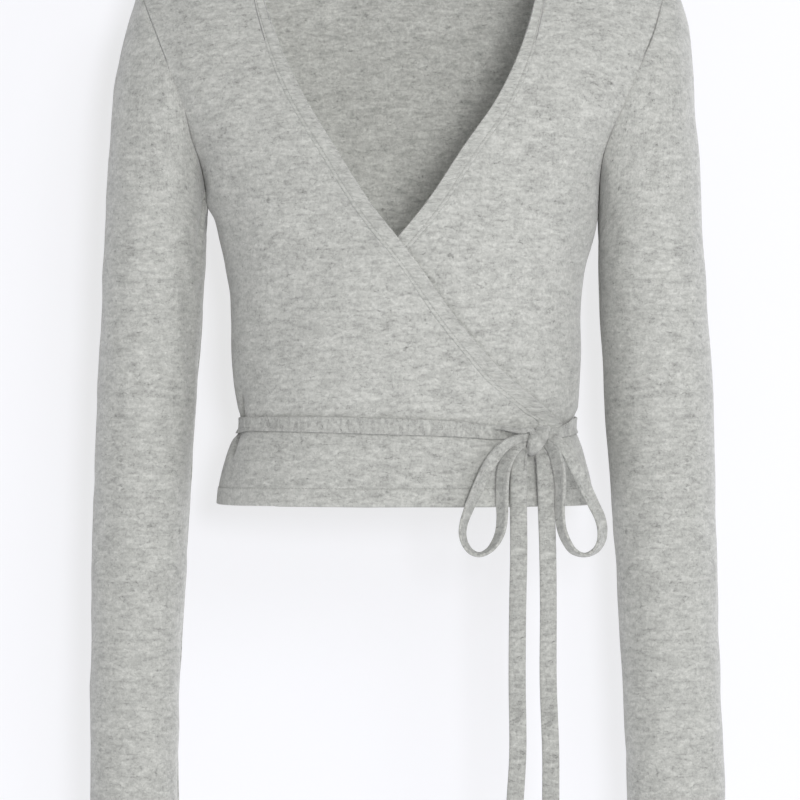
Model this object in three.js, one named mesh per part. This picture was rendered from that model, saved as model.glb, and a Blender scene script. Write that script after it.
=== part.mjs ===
// A cropped knitted wrap cardigan, filled out as worn, with its tie in a bow at the waist.
// Millimetres. +Z is up, the front faces -Y, and the wearer's left side is +X.
// z = 0 is the height of the neck points, where the shoulder seams meet the neckline.
import * as THREE from "three";

// Cloth
const WALL = 1.8; // thickness of the knitted cloth
const BAND_RAISE = 0.2; // how far a front band stands proud of its panel
const SEAM_GAP = 0.3; // space between two pieces sewn together
const BAND_GAP = 0.45; // space between a band and its panel
const LAYER = 3.6; // how far the over front lies outside the under front
const NECK_BAND_WIDTH = 10; // width of the band round the back of the neck
const BAND_END_Z = -346.4; // lower end of the front bands, under the tie
const SHOULDER_SLOPE = 0.41; // fall of the shoulder seam for each millimetre outwards
const NECK_DROP = 24; // how far the back neckline dips below the neck points
const NECK_CURVE = 2.2; // how square the dip of the back neckline is
const ONTO_UNDER = { from: -42, to: -6 }; // the over front rises over this part beside the under edge
const OFF_OVER = { from: 4, to: 26 }; // the tie comes down over this length beyond the over edge
const CAP_LEAN = 0.4; // outward slope of the top of a sleeve
const CAP_GAPS = { low: 2.5, high: 1 }; // seam gaps of a sleeve at the armpit and from there up

// Levels
const HEM_Z = -410; // lower edge of the body
const SHOULDER_Z = -35; // outer end of the shoulder seam
const ARMPIT_Z = { left: -205, right: -196 }; // lowest point of each armhole
const CUFF_Z = -648; // lower edge of the sleeves

// Tie
const TIE_WIDTH = 12; // flat width of the tie
const TIE_THICK = 2.6; // thickness of the tie
const TIE_CLEAR = 0.7; // space between the tie and the cloth beneath it
const KNOT_SHARE = 0.55; // share of its width that the waist tie keeps at the knot
const KNOT = { x: 92, y: -80.4, z: -363, halfWidth: 6, halfDepth: 5.6, halfHeight: 9 };

// Level sections of the body, from the neck points down. right and left are the half widths to the
// wearer's right (-X) and left (+X), front and back the depths, power the squareness of the oval.
const BODY = [
  { z: 0, right: 107, left: 99, front: 26, back: 34, power: 2.1 },
  { z: -18, right: 149, left: 145, front: 45, back: 50, power: 2.1 },
  { z: -35, right: 190.5, left: 190.5, front: 57, back: 62, power: 2.15 },
  { z: -60, right: 202.5, left: 203, front: 68, back: 73, power: 2.2 },
  { z: -90, right: 196.5, left: 196.5, front: 79, back: 83, power: 2.25 },
  { z: -120, right: 182, left: 180.5, front: 87, back: 89, power: 2.3 },
  { z: -150, right: 163, left: 157.5, front: 93, back: 92, power: 2.35 },
  { z: -175, right: 147, left: 143.5, front: 96, back: 93, power: 2.4 },
  { z: -196, right: 141, left: 140, front: 98, back: 92, power: 2.4 },
  { z: -205, right: 136, left: 139, front: 98, back: 91.5, power: 2.4 },
  { z: -220, right: 133.2, left: 136, front: 98, back: 90, power: 2.4 },
  { z: -240, right: 129, left: 130.5, front: 97, back: 88, power: 2.4 },
  { z: -262, right: 124.8, left: 127.6, front: 95.5, back: 86, power: 2.35 },
  { z: -305, right: 124, left: 126.6, front: 91, back: 81, power: 2.3 },
  { z: -347, right: 118.8, left: 124, front: 87, back: 77, power: 2.3 },
  { z: -359, right: 118.8, left: 124, front: 87, back: 77, power: 2.3 },
  { z: -378, right: 128.5, left: 130, front: 90, back: 80, power: 2.35 },
  { z: -410, right: 136, left: 137.5, front: 95, back: 86, power: 2.4 },
];

// Armhole seams: how far out the seam lies at each height.
const ARMHOLE = [
  { z: -35, right: 190.5, left: 190.5 },
  { z: -50, right: 185.8, left: 184.4 },
  { z: -73, right: 176.8, left: 177.5 },
  { z: -97, right: 167.3, left: 167.5 },
  { z: -113, right: 161.2, left: 161 },
  { z: -131, right: 154.4, left: 153 },
  { z: -150, right: 150.2, left: 144.8 },
  { z: -165, right: 145.2, left: 140.7 },
  { z: -181, right: 142.2, left: 139.5 },
  { z: -196, right: 141, left: 139.1 },
  { z: -205, right: 141, left: 139 },
];

// Edge of the over front, seen from the front, from the neck point to the waist and down to the hem,
// and the width of its band.
const OVER_EDGE = [
  { z: 0, x: -107, band: 8 },
  { z: -30, x: -103, band: 7 },
  { z: -54, x: -98, band: 7.2 },
  { z: -85, x: -87.5, band: 8.8 },
  { z: -118, x: -72.3, band: 10.6 },
  { z: -160, x: -47.5, band: 11 },
  { z: -198, x: -23.5, band: 11 },
  { z: -235, x: 5.5, band: 11 },
  { z: -274, x: 33, band: 11 },
  { z: -297, x: 51.3, band: 11 },
  { z: -315, x: 68, band: 11.5 },
  { z: -331, x: 86.5, band: 12 },
  { z: -347, x: 105, band: 12 },
];

// Edge of the under front in the same way, with x measured to the other side.
const UNDER_EDGE = [
  { z: 0, x: -99, band: 8 },
  { z: -30, x: -96, band: 7 },
  { z: -54, x: -91.6, band: 7.2 },
  { z: -84, x: -83.2, band: 8.8 },
  { z: -121, x: -66.7, band: 10.6 },
  { z: -159.5, x: -40.8, band: 11 },
  { z: -196.5, x: -15.5, band: 11 },
  { z: -235, x: 10, band: 11 },
  { z: -274, x: 37, band: 11 },
  { z: -297, x: 55, band: 11 },
  { z: -315, x: 70, band: 11.5 },
  { z: -331, x: 85, band: 12 },
  { z: -347, x: 97, band: 12 },
];

// Free vertical edge of each front below the waist.
const OVER_LOWER_X = 92;
const UNDER_LOWER_X = 90;
const LOWER_TOP_Z = -368;

// Level sections of the sleeves from the armpit to the cuff: centre and half width across, centre and half
// depth front to back.
const SLEEVE = {
  right: [
    { z: -228, x: 179, half: 36.3, y: 0, deep: 46 },
    { z: -263, x: 181.1, half: 36.4, y: 2, deep: 45 },
    { z: -335, x: 185.4, half: 35.6, y: 3, deep: 43.5 },
    { z: -407, x: 188.7, half: 34.6, y: 2, deep: 42 },
    { z: -479, x: 191.9, half: 33.5, y: -2, deep: 39.5 },
    { z: -551, x: 194.8, half: 31.4, y: -7, deep: 36.5 },
    { z: -608, x: 194.8, half: 31.4, y: -11, deep: 34.5 },
    { z: CUFF_Z, x: 194.8, half: 31.4, y: -13, deep: 33.5 },
  ],
  left: [
    { z: -228, x: 178, half: 37.9, y: 0, deep: 46 },
    { z: -263, x: 179.7, half: 38.5, y: 2, deep: 45 },
    { z: -335, x: 183.6, half: 38.9, y: 3, deep: 43.5 },
    { z: -407, x: 186.8, half: 37.1, y: 2, deep: 42 },
    { z: -479, x: 189.7, half: 35.6, y: -2, deep: 39.5 },
    { z: -551, x: 192.6, half: 34.9, y: -7, deep: 36.5 },
    { z: -608, x: 194.8, half: 34.9, y: -11, deep: 34.5 },
    { z: CUFF_Z, x: 195.6, half: 34.9, y: -13, deep: 33.5 },
  ],
};
const SLEEVE_POWER = 2.2;

// Centre line of the tie round the waist: height at each angle round the body, in degrees from the wearer's
// left side (0), back over the front (90 is its middle) to the right side (180) and round behind.
const WAIST_TIE = [
  { angle: 35, z: -361.5 },
  { angle: 43, z: -361 },
  { angle: 49, z: -358.9 },
  { angle: 57, z: -356.7 },
  { angle: 69.5, z: -355 },
  { angle: 92, z: -353.6 },
  { angle: 135, z: -352.2 },
  { angle: 180, z: -353.3 },
  { angle: 270, z: -352 },
  { angle: 360, z: -352.6 },
  { angle: 379, z: -355 },
  { angle: 386.5, z: -359 },
  { angle: 395, z: -361.5 },
];

// Routes of the bow: a point of the centre line, the strip's width there, and how far its flat side is
// turned from facing the front, in degrees.
const LOOP_RIGHT = [
  { x: 85.6, y: -81, z: -358.8, width: 5, turn: 10 },
  { x: 73.5, y: -87, z: -361.8, width: 8, turn: 20 },
  { x: 65.8, y: -92.5, z: -368, width: 10, turn: 30 },
  { x: 57.5, y: -97.5, z: -380, width: 11, turn: 42 },
  { x: 49.5, y: -101, z: -395, width: 12, turn: 52 },
  { x: 42.6, y: -103.5, z: -412, width: 12, turn: 62 },
  { x: 40.2, y: -104.5, z: -428, width: 12, turn: 72 },
  { x: 45.6, y: -104.8, z: -440, width: 12, turn: 78 },
  { x: 54.5, y: -104.8, z: -442, width: 12, turn: 78 },
  { x: 63.5, y: -104.5, z: -434.5, width: 12, turn: 72 },
  { x: 68.6, y: -103.5, z: -420, width: 12, turn: 62 },
  { x: 69.8, y: -102, z: -402, width: 12, turn: 55 },
  { x: 72.3, y: -98, z: -386.5, width: 11, turn: 50 },
  { x: 77, y: -91, z: -375.5, width: 8, turn: 40 },
  { x: 83.6, y: -84, z: -368.2, width: 4.5, turn: 25 },
];
const LOOP_LEFT = [
  { x: 99.2, y: -81, z: -358.8, width: 5, turn: -10 },
  { x: 106.5, y: -84.5, z: -363.4, width: 9, turn: -18 },
  { x: 113.5, y: -86, z: -372, width: 11, turn: -26 },
  { x: 121, y: -85, z: -384, width: 12, turn: -34 },
  { x: 128.5, y: -82.5, z: -397, width: 12, turn: -44 },
  { x: 135.4, y: -80, z: -411, width: 12, turn: -56 },
  { x: 138.6, y: -79, z: -425, width: 12, turn: -68 },
  { x: 135.8, y: -79, z: -437, width: 12, turn: -76 },
  { x: 127, y: -81, z: -443, width: 12, turn: -78 },
  { x: 117, y: -84, z: -439.5, width: 12, turn: -74 },
  { x: 110.2, y: -88, z: -427, width: 12, turn: -66 },
  { x: 108.3, y: -91, z: -409, width: 12, turn: -60 },
  { x: 107.9, y: -91, z: -392, width: 11.5, turn: -56 },
  { x: 105.9, y: -88.5, z: -376, width: 9, turn: -48 },
  { x: 100.2, y: -84.5, z: -367.8, width: 4.5, turn: -30 },
];
const TAIL_RIGHT = [
  { x: 89.6, y: -80.4, z: -372.3, width: 4.4, turn: 0 },
  { x: 86.2, y: -82.6, z: -377.6, width: 7.5, turn: 0 },
  { x: 82.4, y: -87, z: -387, width: 10.6, turn: 0 },
  { x: 80, y: -91.6, z: -400, width: 12, turn: 0 },
  { x: 79.4, y: -94.4, z: -414, width: 12, turn: 0 },
  { x: 79, y: -96, z: -440, width: 12, turn: 4 },
  { x: 78, y: -96.4, z: -480, width: 12, turn: 8 },
  { x: 77.4, y: -96.2, z: -530, width: 12, turn: 3 },
  { x: 79, y: -95.6, z: -580, width: 12, turn: -3 },
  { x: 77.6, y: -95.2, z: -620, width: 12, turn: 2 },
  { x: 77, y: -95, z: -652, width: 12, turn: 4 },
];
const TAIL_LEFT = [
  { x: 94.4, y: -80.4, z: -372.4, width: 4.4, turn: 0 },
  { x: 96.4, y: -82, z: -378.6, width: 7.5, turn: 0 },
  { x: 98, y: -84.8, z: -388, width: 10, turn: 0 },
  { x: 98.8, y: -88.4, z: -400, width: 11.6, turn: 0 },
  { x: 99, y: -90.6, z: -414, width: 12, turn: -2 },
  { x: 99.2, y: -92.4, z: -440, width: 12, turn: -6 },
  { x: 98.8, y: -93, z: -480, width: 12, turn: -10 },
  { x: 98.6, y: -93, z: -530, width: 12, turn: -4 },
  { x: 100.4, y: -93, z: -580, width: 12, turn: 3 },
  { x: 101, y: -93, z: -625, width: 12, turn: 0 },
  { x: 101.4, y: -93, z: -669, width: 12, turn: -3 },
];

// Fineness of the facets
const ARM_ROWS = 10; // from the armpit to the shoulder seam
const SIDE_LEVELS = 4; // between the waist and the armpit
const FRONT_COLUMNS = 12;
const BACK_COLUMNS = 20;
const BAND_COLUMNS = 1;
const SHOULDER_SHARE = 0.2; // share of the back's columns on each shoulder seam
const NECK_STEPS = Math.round(BACK_COLUMNS * (1 - 2 * SHOULDER_SHARE));
const WAIST_STEPS = 64;
const SLEEVE_CAP_STEPS = 6;
const KNOT_FACETS = 12;
const LOOP_STEPS = 28;
const TAIL_STEPS = 18;

const HALF_TURN = Math.PI;
const MEAN_RADIUS = 105; // of the body, to turn an angle round it into a length
const clamp01 = (t) => Math.min(1, Math.max(0, t));
const lerp = (a, b, t) => a + (b - a) * t;
const smooth = (low, high, v) => {
  const t = clamp01((v - low) / (high - low));
  return t * t * (3 - 2 * t);
};

// A smooth curve through one column of a table, with no overshoot between its rows.
function curveThrough(table, at, column) {
  const rows = [...table].sort((a, b) => a[at] - b[at]);
  const u = rows.map((r) => r[at]);
  const v = rows.map((r) => r[column]);
  const last = u.length - 1;
  const rise = u.slice(1).map((next, i) => (v[i + 1] - v[i]) / (next - u[i]));
  const slope = u.map((_, i) => {
    if (i === 0) return rise[0];
    if (i === last) return rise[last - 1];
    if (rise[i - 1] * rise[i] <= 0) return 0;
    const before = 2 * (u[i + 1] - u[i]) + (u[i] - u[i - 1]);
    const after = u[i + 1] - u[i] + 2 * (u[i] - u[i - 1]);
    return (before + after) / (before / rise[i - 1] + after / rise[i]);
  });
  return (x) => {
    if (x <= u[0]) return v[0] + slope[0] * (x - u[0]);
    if (x >= u[last]) return v[last] + slope[last] * (x - u[last]);
    const i = u.findIndex((start, k) => x >= start && x < u[k + 1]);
    const h = u[i + 1] - u[i];
    const t = (x - u[i]) / h;
    const bend = slope[i] * (1 - t) ** 2 * t - slope[i + 1] * (1 - t) * t ** 2;
    return lerp(v[i], v[i + 1], t * t * (3 - 2 * t)) + h * bend;
  };
}

const body = Object.fromEntries(
  ["right", "left", "front", "back", "power"].map((key) => [key, curveThrough(BODY, "z", key)]),
);
const armhole = {
  right: curveThrough(ARMHOLE, "z", "right"),
  left: curveThrough(ARMHOLE, "z", "left"),
};

// A point of the body's outer surface at an angle round it: 0 is the left side, 90 degrees the middle of the
// front, 180 the right side, and 270 the middle of the back.
function bodyPoint(angle, z) {
  const c = Math.cos(angle);
  const s = Math.sin(angle);
  const wide = c < 0 ? body.right(z) : body.left(z);
  const deep = s > 0 ? body.front(z) : body.back(z);
  const power = body.power(z);
  const r = (Math.abs(c / wide) ** power + Math.abs(s / deep) ** power) ** (-1 / power);
  return new THREE.Vector3(r * c, -r * s, z);
}

// The way out of the body's surface at a point.
function bodyNormal(angle, z) {
  const step = 0.01;
  const along = bodyPoint(angle + step, z).sub(bodyPoint(angle - step, z));
  const up = bodyPoint(angle, z + 1).sub(bodyPoint(angle, z - 1));
  const out = up.cross(along).normalize();
  const away = bodyPoint(angle, z).setZ(0);
  return out.dot(away) < 0 ? out.negate() : out;
}

// Depth of the surface at a distance out from the middle, on one side, at a height.
function depthAt(out, side, z, behind = false) {
  const deep = behind ? body.back(z) : body.front(z);
  const power = body.power(z);
  const share = clamp01(out / body[side](z));
  return deep * (1 - share ** power) ** (1 / power);
}

// The angle at which the front of the surface reaches x at a height.
function angleAt(x, z) {
  return Math.atan2(depthAt(Math.abs(x), x < 0 ? "right" : "left", z), x);
}

// The x of a front's edge at a height. Below the waist it runs back to a vertical line.
function edgeX(curve, lowerX, z) {
  const table = z > OVER_EDGE.at(-1).z ? curve(z) : curve(OVER_EDGE.at(-1).z);
  return lerp(table, lowerX, smooth(OVER_EDGE.at(-1).z, LOWER_TOP_Z, z));
}
const overCurve = curveThrough(OVER_EDGE, "z", "x");
const underCurve = curveThrough(UNDER_EDGE, "z", "x");
const overBand = curveThrough(OVER_EDGE, "z", "band");
const underBand = curveThrough(UNDER_EDGE, "z", "band");
const FRONTS = {
  over: {
    side: "right",
    sign: 1,
    x: (z) => edgeX(overCurve, OVER_LOWER_X, z),
    slant: overCurve,
    band: overBand,
  },
  under: {
    side: "left",
    sign: -1,
    x: (z) => -edgeX(underCurve, UNDER_LOWER_X, z),
    slant: underCurve,
    band: underBand,
  },
};

// How wide the band is, measured level, at a height of its outer edge.
function bandAcross(front, z) {
  const lean = (front.slant(z + 1) - front.slant(z - 1)) / 2;
  return front.band(z) * Math.hypot(1, lean);
}

// How far out the over front lies, so that it clears the under front beneath it.
function overLift(angle, z) {
  const underAngle = angleAt(FRONTS.under.x(z), z);
  const inside = (underAngle - angle) * MEAN_RADIUS;
  return LAYER * smooth(ONTO_UNDER.from, ONTO_UNDER.to, inside);
}

// The tie passes over the over front and comes down beyond its edge.
function tieLift(angle, z) {
  if (angle > HALF_TURN && angle < 2 * HALF_TURN) return 0;
  const turned = angle >= 2 * HALF_TURN ? angle - 2 * HALF_TURN : angle;
  const overAngle = angleAt(FRONTS.over.x(z), z);
  const beyond = (overAngle - turned) * MEAN_RADIUS;
  return overLift(turned, z) * (1 - smooth(OFF_OVER.from, OFF_OVER.to, beyond));
}

// Closed wall between two grids of points with the same rows and columns. loop joins the last column to
// the first, as round a sleeve.
function wallBetween(outer, inner, loop = false) {
  const rows = outer.length;
  const columns = outer[0].length;
  const positions = [...outer.flat(), ...inner.flat()].flatMap((p) => [p.x, p.y, p.z]);
  const index = [];
  const out = (r, c) => r * columns + (c % columns);
  const into = (r, c) => rows * columns + out(r, c);
  const quad = (a, b, c, d) => index.push(a, b, c, a, c, d);
  const steps = loop ? columns : columns - 1;
  for (let r = 0; r + 1 < rows; r++) {
    for (let c = 0; c < steps; c++) {
      quad(out(r, c), out(r, c + 1), out(r + 1, c + 1), out(r + 1, c));
      quad(into(r, c), into(r + 1, c), into(r + 1, c + 1), into(r, c + 1));
    }
    if (!loop) {
      quad(into(r, 0), out(r, 0), out(r + 1, 0), into(r + 1, 0));
      quad(out(r, steps), into(r, steps), into(r + 1, steps), out(r + 1, steps));
    }
  }
  for (let c = 0; c < steps; c++) {
    quad(into(0, c), into(0, c + 1), out(0, c + 1), out(0, c));
    quad(out(rows - 1, c), out(rows - 1, c + 1), into(rows - 1, c + 1), into(rows - 1, c));
  }
  const geometry = new THREE.BufferGeometry();
  geometry.setAttribute("position", new THREE.Float32BufferAttribute(positions, 3));
  geometry.setIndex(index);
  return geometry;
}

// A wall on the body, from a grid of [angle, z, lift of the outer face].
function wallOnBody(grid, thickness, loop = false) {
  const outer = grid.map((row) =>
    row.map(([angle, z, lift]) => bodyPoint(angle, z).addScaledVector(bodyNormal(angle, z), lift)),
  );
  const inner = grid.map((row, r) =>
    row.map(([angle, z], c) => outer[r][c].clone().addScaledVector(bodyNormal(angle, z), -thickness)),
  );
  return wallBetween(outer, inner, loop);
}

// Heights of the armhole seam, close together at its two ends. Row 0 is the armpit.
function armLevel(side, row) {
  const middle = (SHOULDER_Z + ARMPIT_Z[side]) / 2;
  const half = (SHOULDER_Z - ARMPIT_Z[side]) / 2;
  return middle - half * Math.cos((HALF_TURN * row) / ARM_ROWS);
}

// Angle from the side seam to the armhole seam, at a height. It closes at both ends.
function armholeAngle(side, z, behind) {
  if (z <= ARMPIT_Z[side] || z >= SHOULDER_Z) return 0;
  const out = armhole[side](z);
  return Math.atan2(depthAt(out, side, z, behind), out);
}

// Half a seam's gap, as an angle round the body.
const HALF_GAP = SEAM_GAP / 2 / MEAN_RADIUS;

// Heights of the rows below the armpit. They lie close where the tie draws the cloth in.
function bodyLevels(armpit) {
  const waist = [HEM_Z, -388, -372, -359, -353, BAND_END_Z - 1.6, BAND_END_Z - 0.8, -330];
  const top = waist.at(-1);
  const rest = Array.from({ length: SIDE_LEVELS }, (_, i) =>
    lerp(top, armpit, (i + 1) / (SIDE_LEVELS + 1)),
  );
  return [...waist, ...rest];
}

// Heights at which a front's rows meet its band.
function edgeLevels(side) {
  const armpit = ARMPIT_Z[side];
  const high = Array.from({ length: ARM_ROWS + 1 }, (_, row) => {
    const share = (armLevel(side, row) - armpit) / (SHOULDER_Z - armpit);
    return lerp(armpit, 0, share);
  });
  return [...bodyLevels(armpit), ...high];
}

// The inner line of a band where its outer edge is at height z, moved into the panel by space. At the
// shoulder it lies lower than the outer edge, because the band ends along the sloping seam.
function innerLine(front, z, space) {
  const across = bandAcross(front, z) + space;
  const drop = SHOULDER_SLOPE * across * smooth(-40, 0, z);
  return { x: front.x(z) - front.sign * across, z: z - drop };
}

// Angle of a point on a front, kept clear of the shoulder and side seams.
function frontAngle(x, z) {
  return Math.min(HALF_TURN - HALF_GAP, Math.max(HALF_GAP, angleAt(x, z)));
}

// One front. Its rows run from the side to the inner line of its band, and below the band to its free edge.
function frontPanel(front) {
  const { side, sign } = front;
  const seam = side === "right" ? HALF_TURN : 0;
  const low = bodyLevels(ARMPIT_Z[side]);
  const high = Array.from({ length: ARM_ROWS + 1 }, (_, row) => armLevel(side, row));
  const edges = edgeLevels(side);
  const grid = [...low, ...high].map((sideZ, row) => {
    const edgeZ = edges[row];
    const banded = edgeZ > BAND_END_Z - 1.2;
    const end = banded ? innerLine(front, edgeZ, BAND_GAP) : { x: front.x(edgeZ), z: edgeZ };
    const from = seam - sign * (armholeAngle(side, sideZ, false) + HALF_GAP);
    const to = frontAngle(end.x, end.z);
    const line = Array.from({ length: FRONT_COLUMNS + 1 }, (_, column) => {
      const share = column / FRONT_COLUMNS;
      const angle = lerp(from, to, share);
      const z = lerp(sideZ, end.z, share);
      return [angle, z, sign > 0 ? overLift(angle, z) : 0];
    });
    return sign > 0 ? line : line.reverse();
  });
  return wallOnBody(grid, WALL);
}

// One front band, from the waist up to the shoulder seam.
function frontBand(front) {
  const { side, sign } = front;
  const levels = [BAND_END_Z, ...edgeLevels(side).filter((z) => z > BAND_END_Z)];
  const grid = levels.map((edgeZ) => {
    const inner = innerLine(front, edgeZ, 0);
    const line = Array.from({ length: BAND_COLUMNS + 1 }, (_, column) => {
      const share = column / BAND_COLUMNS;
      const x = lerp(inner.x, front.x(edgeZ), share);
      const z = lerp(inner.z, edgeZ, share);
      const angle = frontAngle(x, z);
      return [angle, z, BAND_RAISE + (sign > 0 ? overLift(angle, z) : 0)];
    });
    return sign > 0 ? line : line.reverse();
  });
  return wallOnBody(grid, WALL + BAND_RAISE);
}

// Height of the back neckline at an angle round the body, moved down the surface by a distance.
function neckZ(angle, down) {
  const z = -NECK_DROP * (1 - Math.abs(Math.cos(angle)) ** NECK_CURVE);
  const step = bodyPoint(angle, z - 2).distanceTo(bodyPoint(angle, z - 4)) / 2;
  return z - down / step;
}

// Width of the back neck band, which matches the front bands at its ends.
const neckBand = (angle) => lerp(OVER_EDGE[0].band, NECK_BAND_WIDTH, Math.sin(angle) ** 2);

// The back. Above the armpits its rows bend up to the shoulder seams and the neck band.
function backPanel() {
  const start = HALF_TURN + HALF_GAP;
  const end = 2 * HALF_TURN - HALF_GAP;
  const neckEnd = (angle) => neckZ(angle, neckBand(angle) + BAND_GAP);
  const top = (share) => {
    const fromSide = Math.min(share, 1 - share) / SHOULDER_SHARE;
    if (fromSide < 1) {
      const angle = share < 0.5 ? start : end;
      return [angle, lerp(SHOULDER_Z, neckEnd(angle), fromSide)];
    }
    const angle = lerp(start, end, (share - SHOULDER_SHARE) / (1 - 2 * SHOULDER_SHARE));
    return [angle, neckEnd(angle)];
  };
  const shares = Array.from({ length: BACK_COLUMNS + 1 }, (_, column) => column / BACK_COLUMNS);
  const lowRight = bodyLevels(ARMPIT_Z.right);
  const lowLeft = bodyLevels(ARMPIT_Z.left);
  const low = lowRight.map((z, row) =>
    shares.map((share) => [lerp(start, end, share), lerp(z, lowLeft[row], share), 0]),
  );
  const high = Array.from({ length: ARM_ROWS + 1 }, (_, row) => {
    const rightZ = armLevel("right", row);
    const leftZ = armLevel("left", row);
    const up = (rightZ - ARMPIT_Z.right) / (SHOULDER_Z - ARMPIT_Z.right);
    const rightIn = armholeAngle("right", rightZ, true);
    const leftIn = armholeAngle("left", leftZ, true);
    return shares.map((share) => {
      const [topAngle, topZ] = top(share);
      const plain = lerp(lerp(start, end, share), topAngle, up);
      const angle = plain + (1 - share) * rightIn - share * leftIn;
      const floor = lerp(ARMPIT_Z.right, ARMPIT_Z.left, share);
      return [angle, lerp(floor, topZ, up), 0];
    });
  });
  const grid = [...low, ...high].map((row) => row.reverse());
  return wallOnBody(grid, WALL);
}

function neckBandBack() {
  const grid = [1, 0].map((share) =>
    Array.from({ length: NECK_STEPS + 1 }, (_, step) => {
      const angle = lerp(2 * HALF_TURN - HALF_GAP, HALF_TURN + HALF_GAP, step / NECK_STEPS);
      return [angle, neckZ(angle, share * neckBand(angle)), BAND_RAISE];
    }),
  );
  return wallOnBody(grid, WALL + BAND_RAISE);
}

// Outer surface of a sleeve: rings of points that start at the top of the shoulder and go round its front.
// The first ring is the armhole seam, and a smooth cap leads from it to the level rings of the arm.
function sleevePanel(side) {
  const sign = side === "right" ? -1 : 1;
  const seam = side === "right" ? HALF_TURN : 0;
  const count = 2 * ARM_ROWS;
  const table = SLEEVE[side];
  const column = (key) => curveThrough(table, "z", key);
  const [x, y, half, deep] = [column("x"), column("y"), column("half"), column("deep")];
  const levelPoint = (turn, z) => {
    const c = Math.cos(turn);
    const s = Math.sin(turn);
    const sum = Math.abs(c / half(z)) ** SLEEVE_POWER + Math.abs(s / deep(z)) ** SLEEVE_POWER;
    const r = sum ** (-1 / SLEEVE_POWER);
    return new THREE.Vector3(sign * (x(z) + r * c), y(z) - r * s, z);
  };
  const start = [];
  const leave = [];
  const wallWay = [];
  for (let i = 0; i < count; i++) {
    const turn = (2 * HALF_TURN * i) / count;
    const behind = turn > HALF_TURN;
    const z = armLevel(side, i <= ARM_ROWS ? ARM_ROWS - i : i - ARM_ROWS);
    const inward = armholeAngle(side, z, behind);
    const angle = behind ? seam - sign * inward : seam + sign * inward;
    const onSeam = bodyPoint(angle, z);
    const upper = (1 + Math.cos(turn)) / 2;
    const away = new THREE.Vector3(sign, 0, -CAP_LEAN * upper).normalize();
    const gaps = lerp(CAP_GAPS.low, CAP_GAPS.high, smooth(0, 0.3, upper));
    start.push(onSeam.addScaledVector(away, gaps * SEAM_GAP));
    const down = new THREE.Vector3(sign * lerp(0.04, CAP_LEAN, upper), -0.16 * Math.sin(turn), -1);
    leave.push(down.normalize());
    const bodyWay = bodyNormal(angle, z);
    const armWay = new THREE.Vector3(sign * Math.cos(turn), -Math.sin(turn), 0);
    wallWay.push(armWay.lerp(bodyWay, smooth(0.05, 0.5, upper)).normalize());
  }
  const topZ = table[0].z;
  const rings = Array.from({ length: SLEEVE_CAP_STEPS + 1 }, (_, step) => {
    const t = step / SLEEVE_CAP_STEPS;
    return start.map((from, i) => {
      const turn = (2 * HALF_TURN * i) / count;
      const to = levelPoint(turn, topZ);
      const reach = from.distanceTo(to);
      const below = levelPoint(turn, topZ - 1).sub(to).multiplyScalar(reach);
      const leaving = leave[i].clone().multiplyScalar(reach);
      return new THREE.Vector3()
        .addScaledVector(from, 1 - t * t * (3 - 2 * t))
        .addScaledVector(leaving, t * (1 - t) ** 2)
        .addScaledVector(to, t * t * (3 - 2 * t))
        .addScaledVector(below, t * t * (t - 1));
    });
  });
  for (const { z } of table.slice(1)) {
    rings.push(start.map((_, i) => levelPoint((2 * HALF_TURN * i) / count, z)));
  }
  const inner = rings.map((ring, r) =>
    ring.map((point, i) => {
      const round = ring[(i + 1) % count].clone().sub(ring[(i + count - 1) % count]);
      const along = (rings[r + 1] ?? ring)[i].clone().sub((rings[r - 1] ?? ring)[i]);
      const out = round.cross(along).normalize().multiplyScalar(sign);
      const way = r === 0 ? wallWay[i] : out;
      return point.clone().addScaledVector(way, -WALL);
    }),
  );
  return sign < 0 ? wallBetween(inner, rings, true) : wallBetween(rings, inner, true);
}

// The tie round the waist: a flat strip that lies on the panels, narrow where it goes into the knot.
function waistTie() {
  const middle = curveThrough(WAIST_TIE, "angle", "z");
  const [first, last] = [WAIST_TIE[0].angle, WAIST_TIE.at(-1).angle];
  const grid = [-1, 1].map((edge) =>
    Array.from({ length: WAIST_STEPS }, (_, step) => {
      const degrees = lerp(first, last, step / WAIST_STEPS);
      const fromKnot = Math.min(degrees - first, last - degrees);
      const width = lerp(TIE_WIDTH * KNOT_SHARE, TIE_WIDTH, smooth(2, 16, fromKnot));
      const z = middle(degrees) + (edge * width) / 2;
      const angle = THREE.MathUtils.degToRad(degrees);
      return [angle, z, tieLift(angle, middle(degrees)) + BAND_RAISE + TIE_CLEAR + TIE_THICK];
    }).reverse(),
  );
  return wallOnBody(grid, TIE_THICK, true);
}

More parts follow.
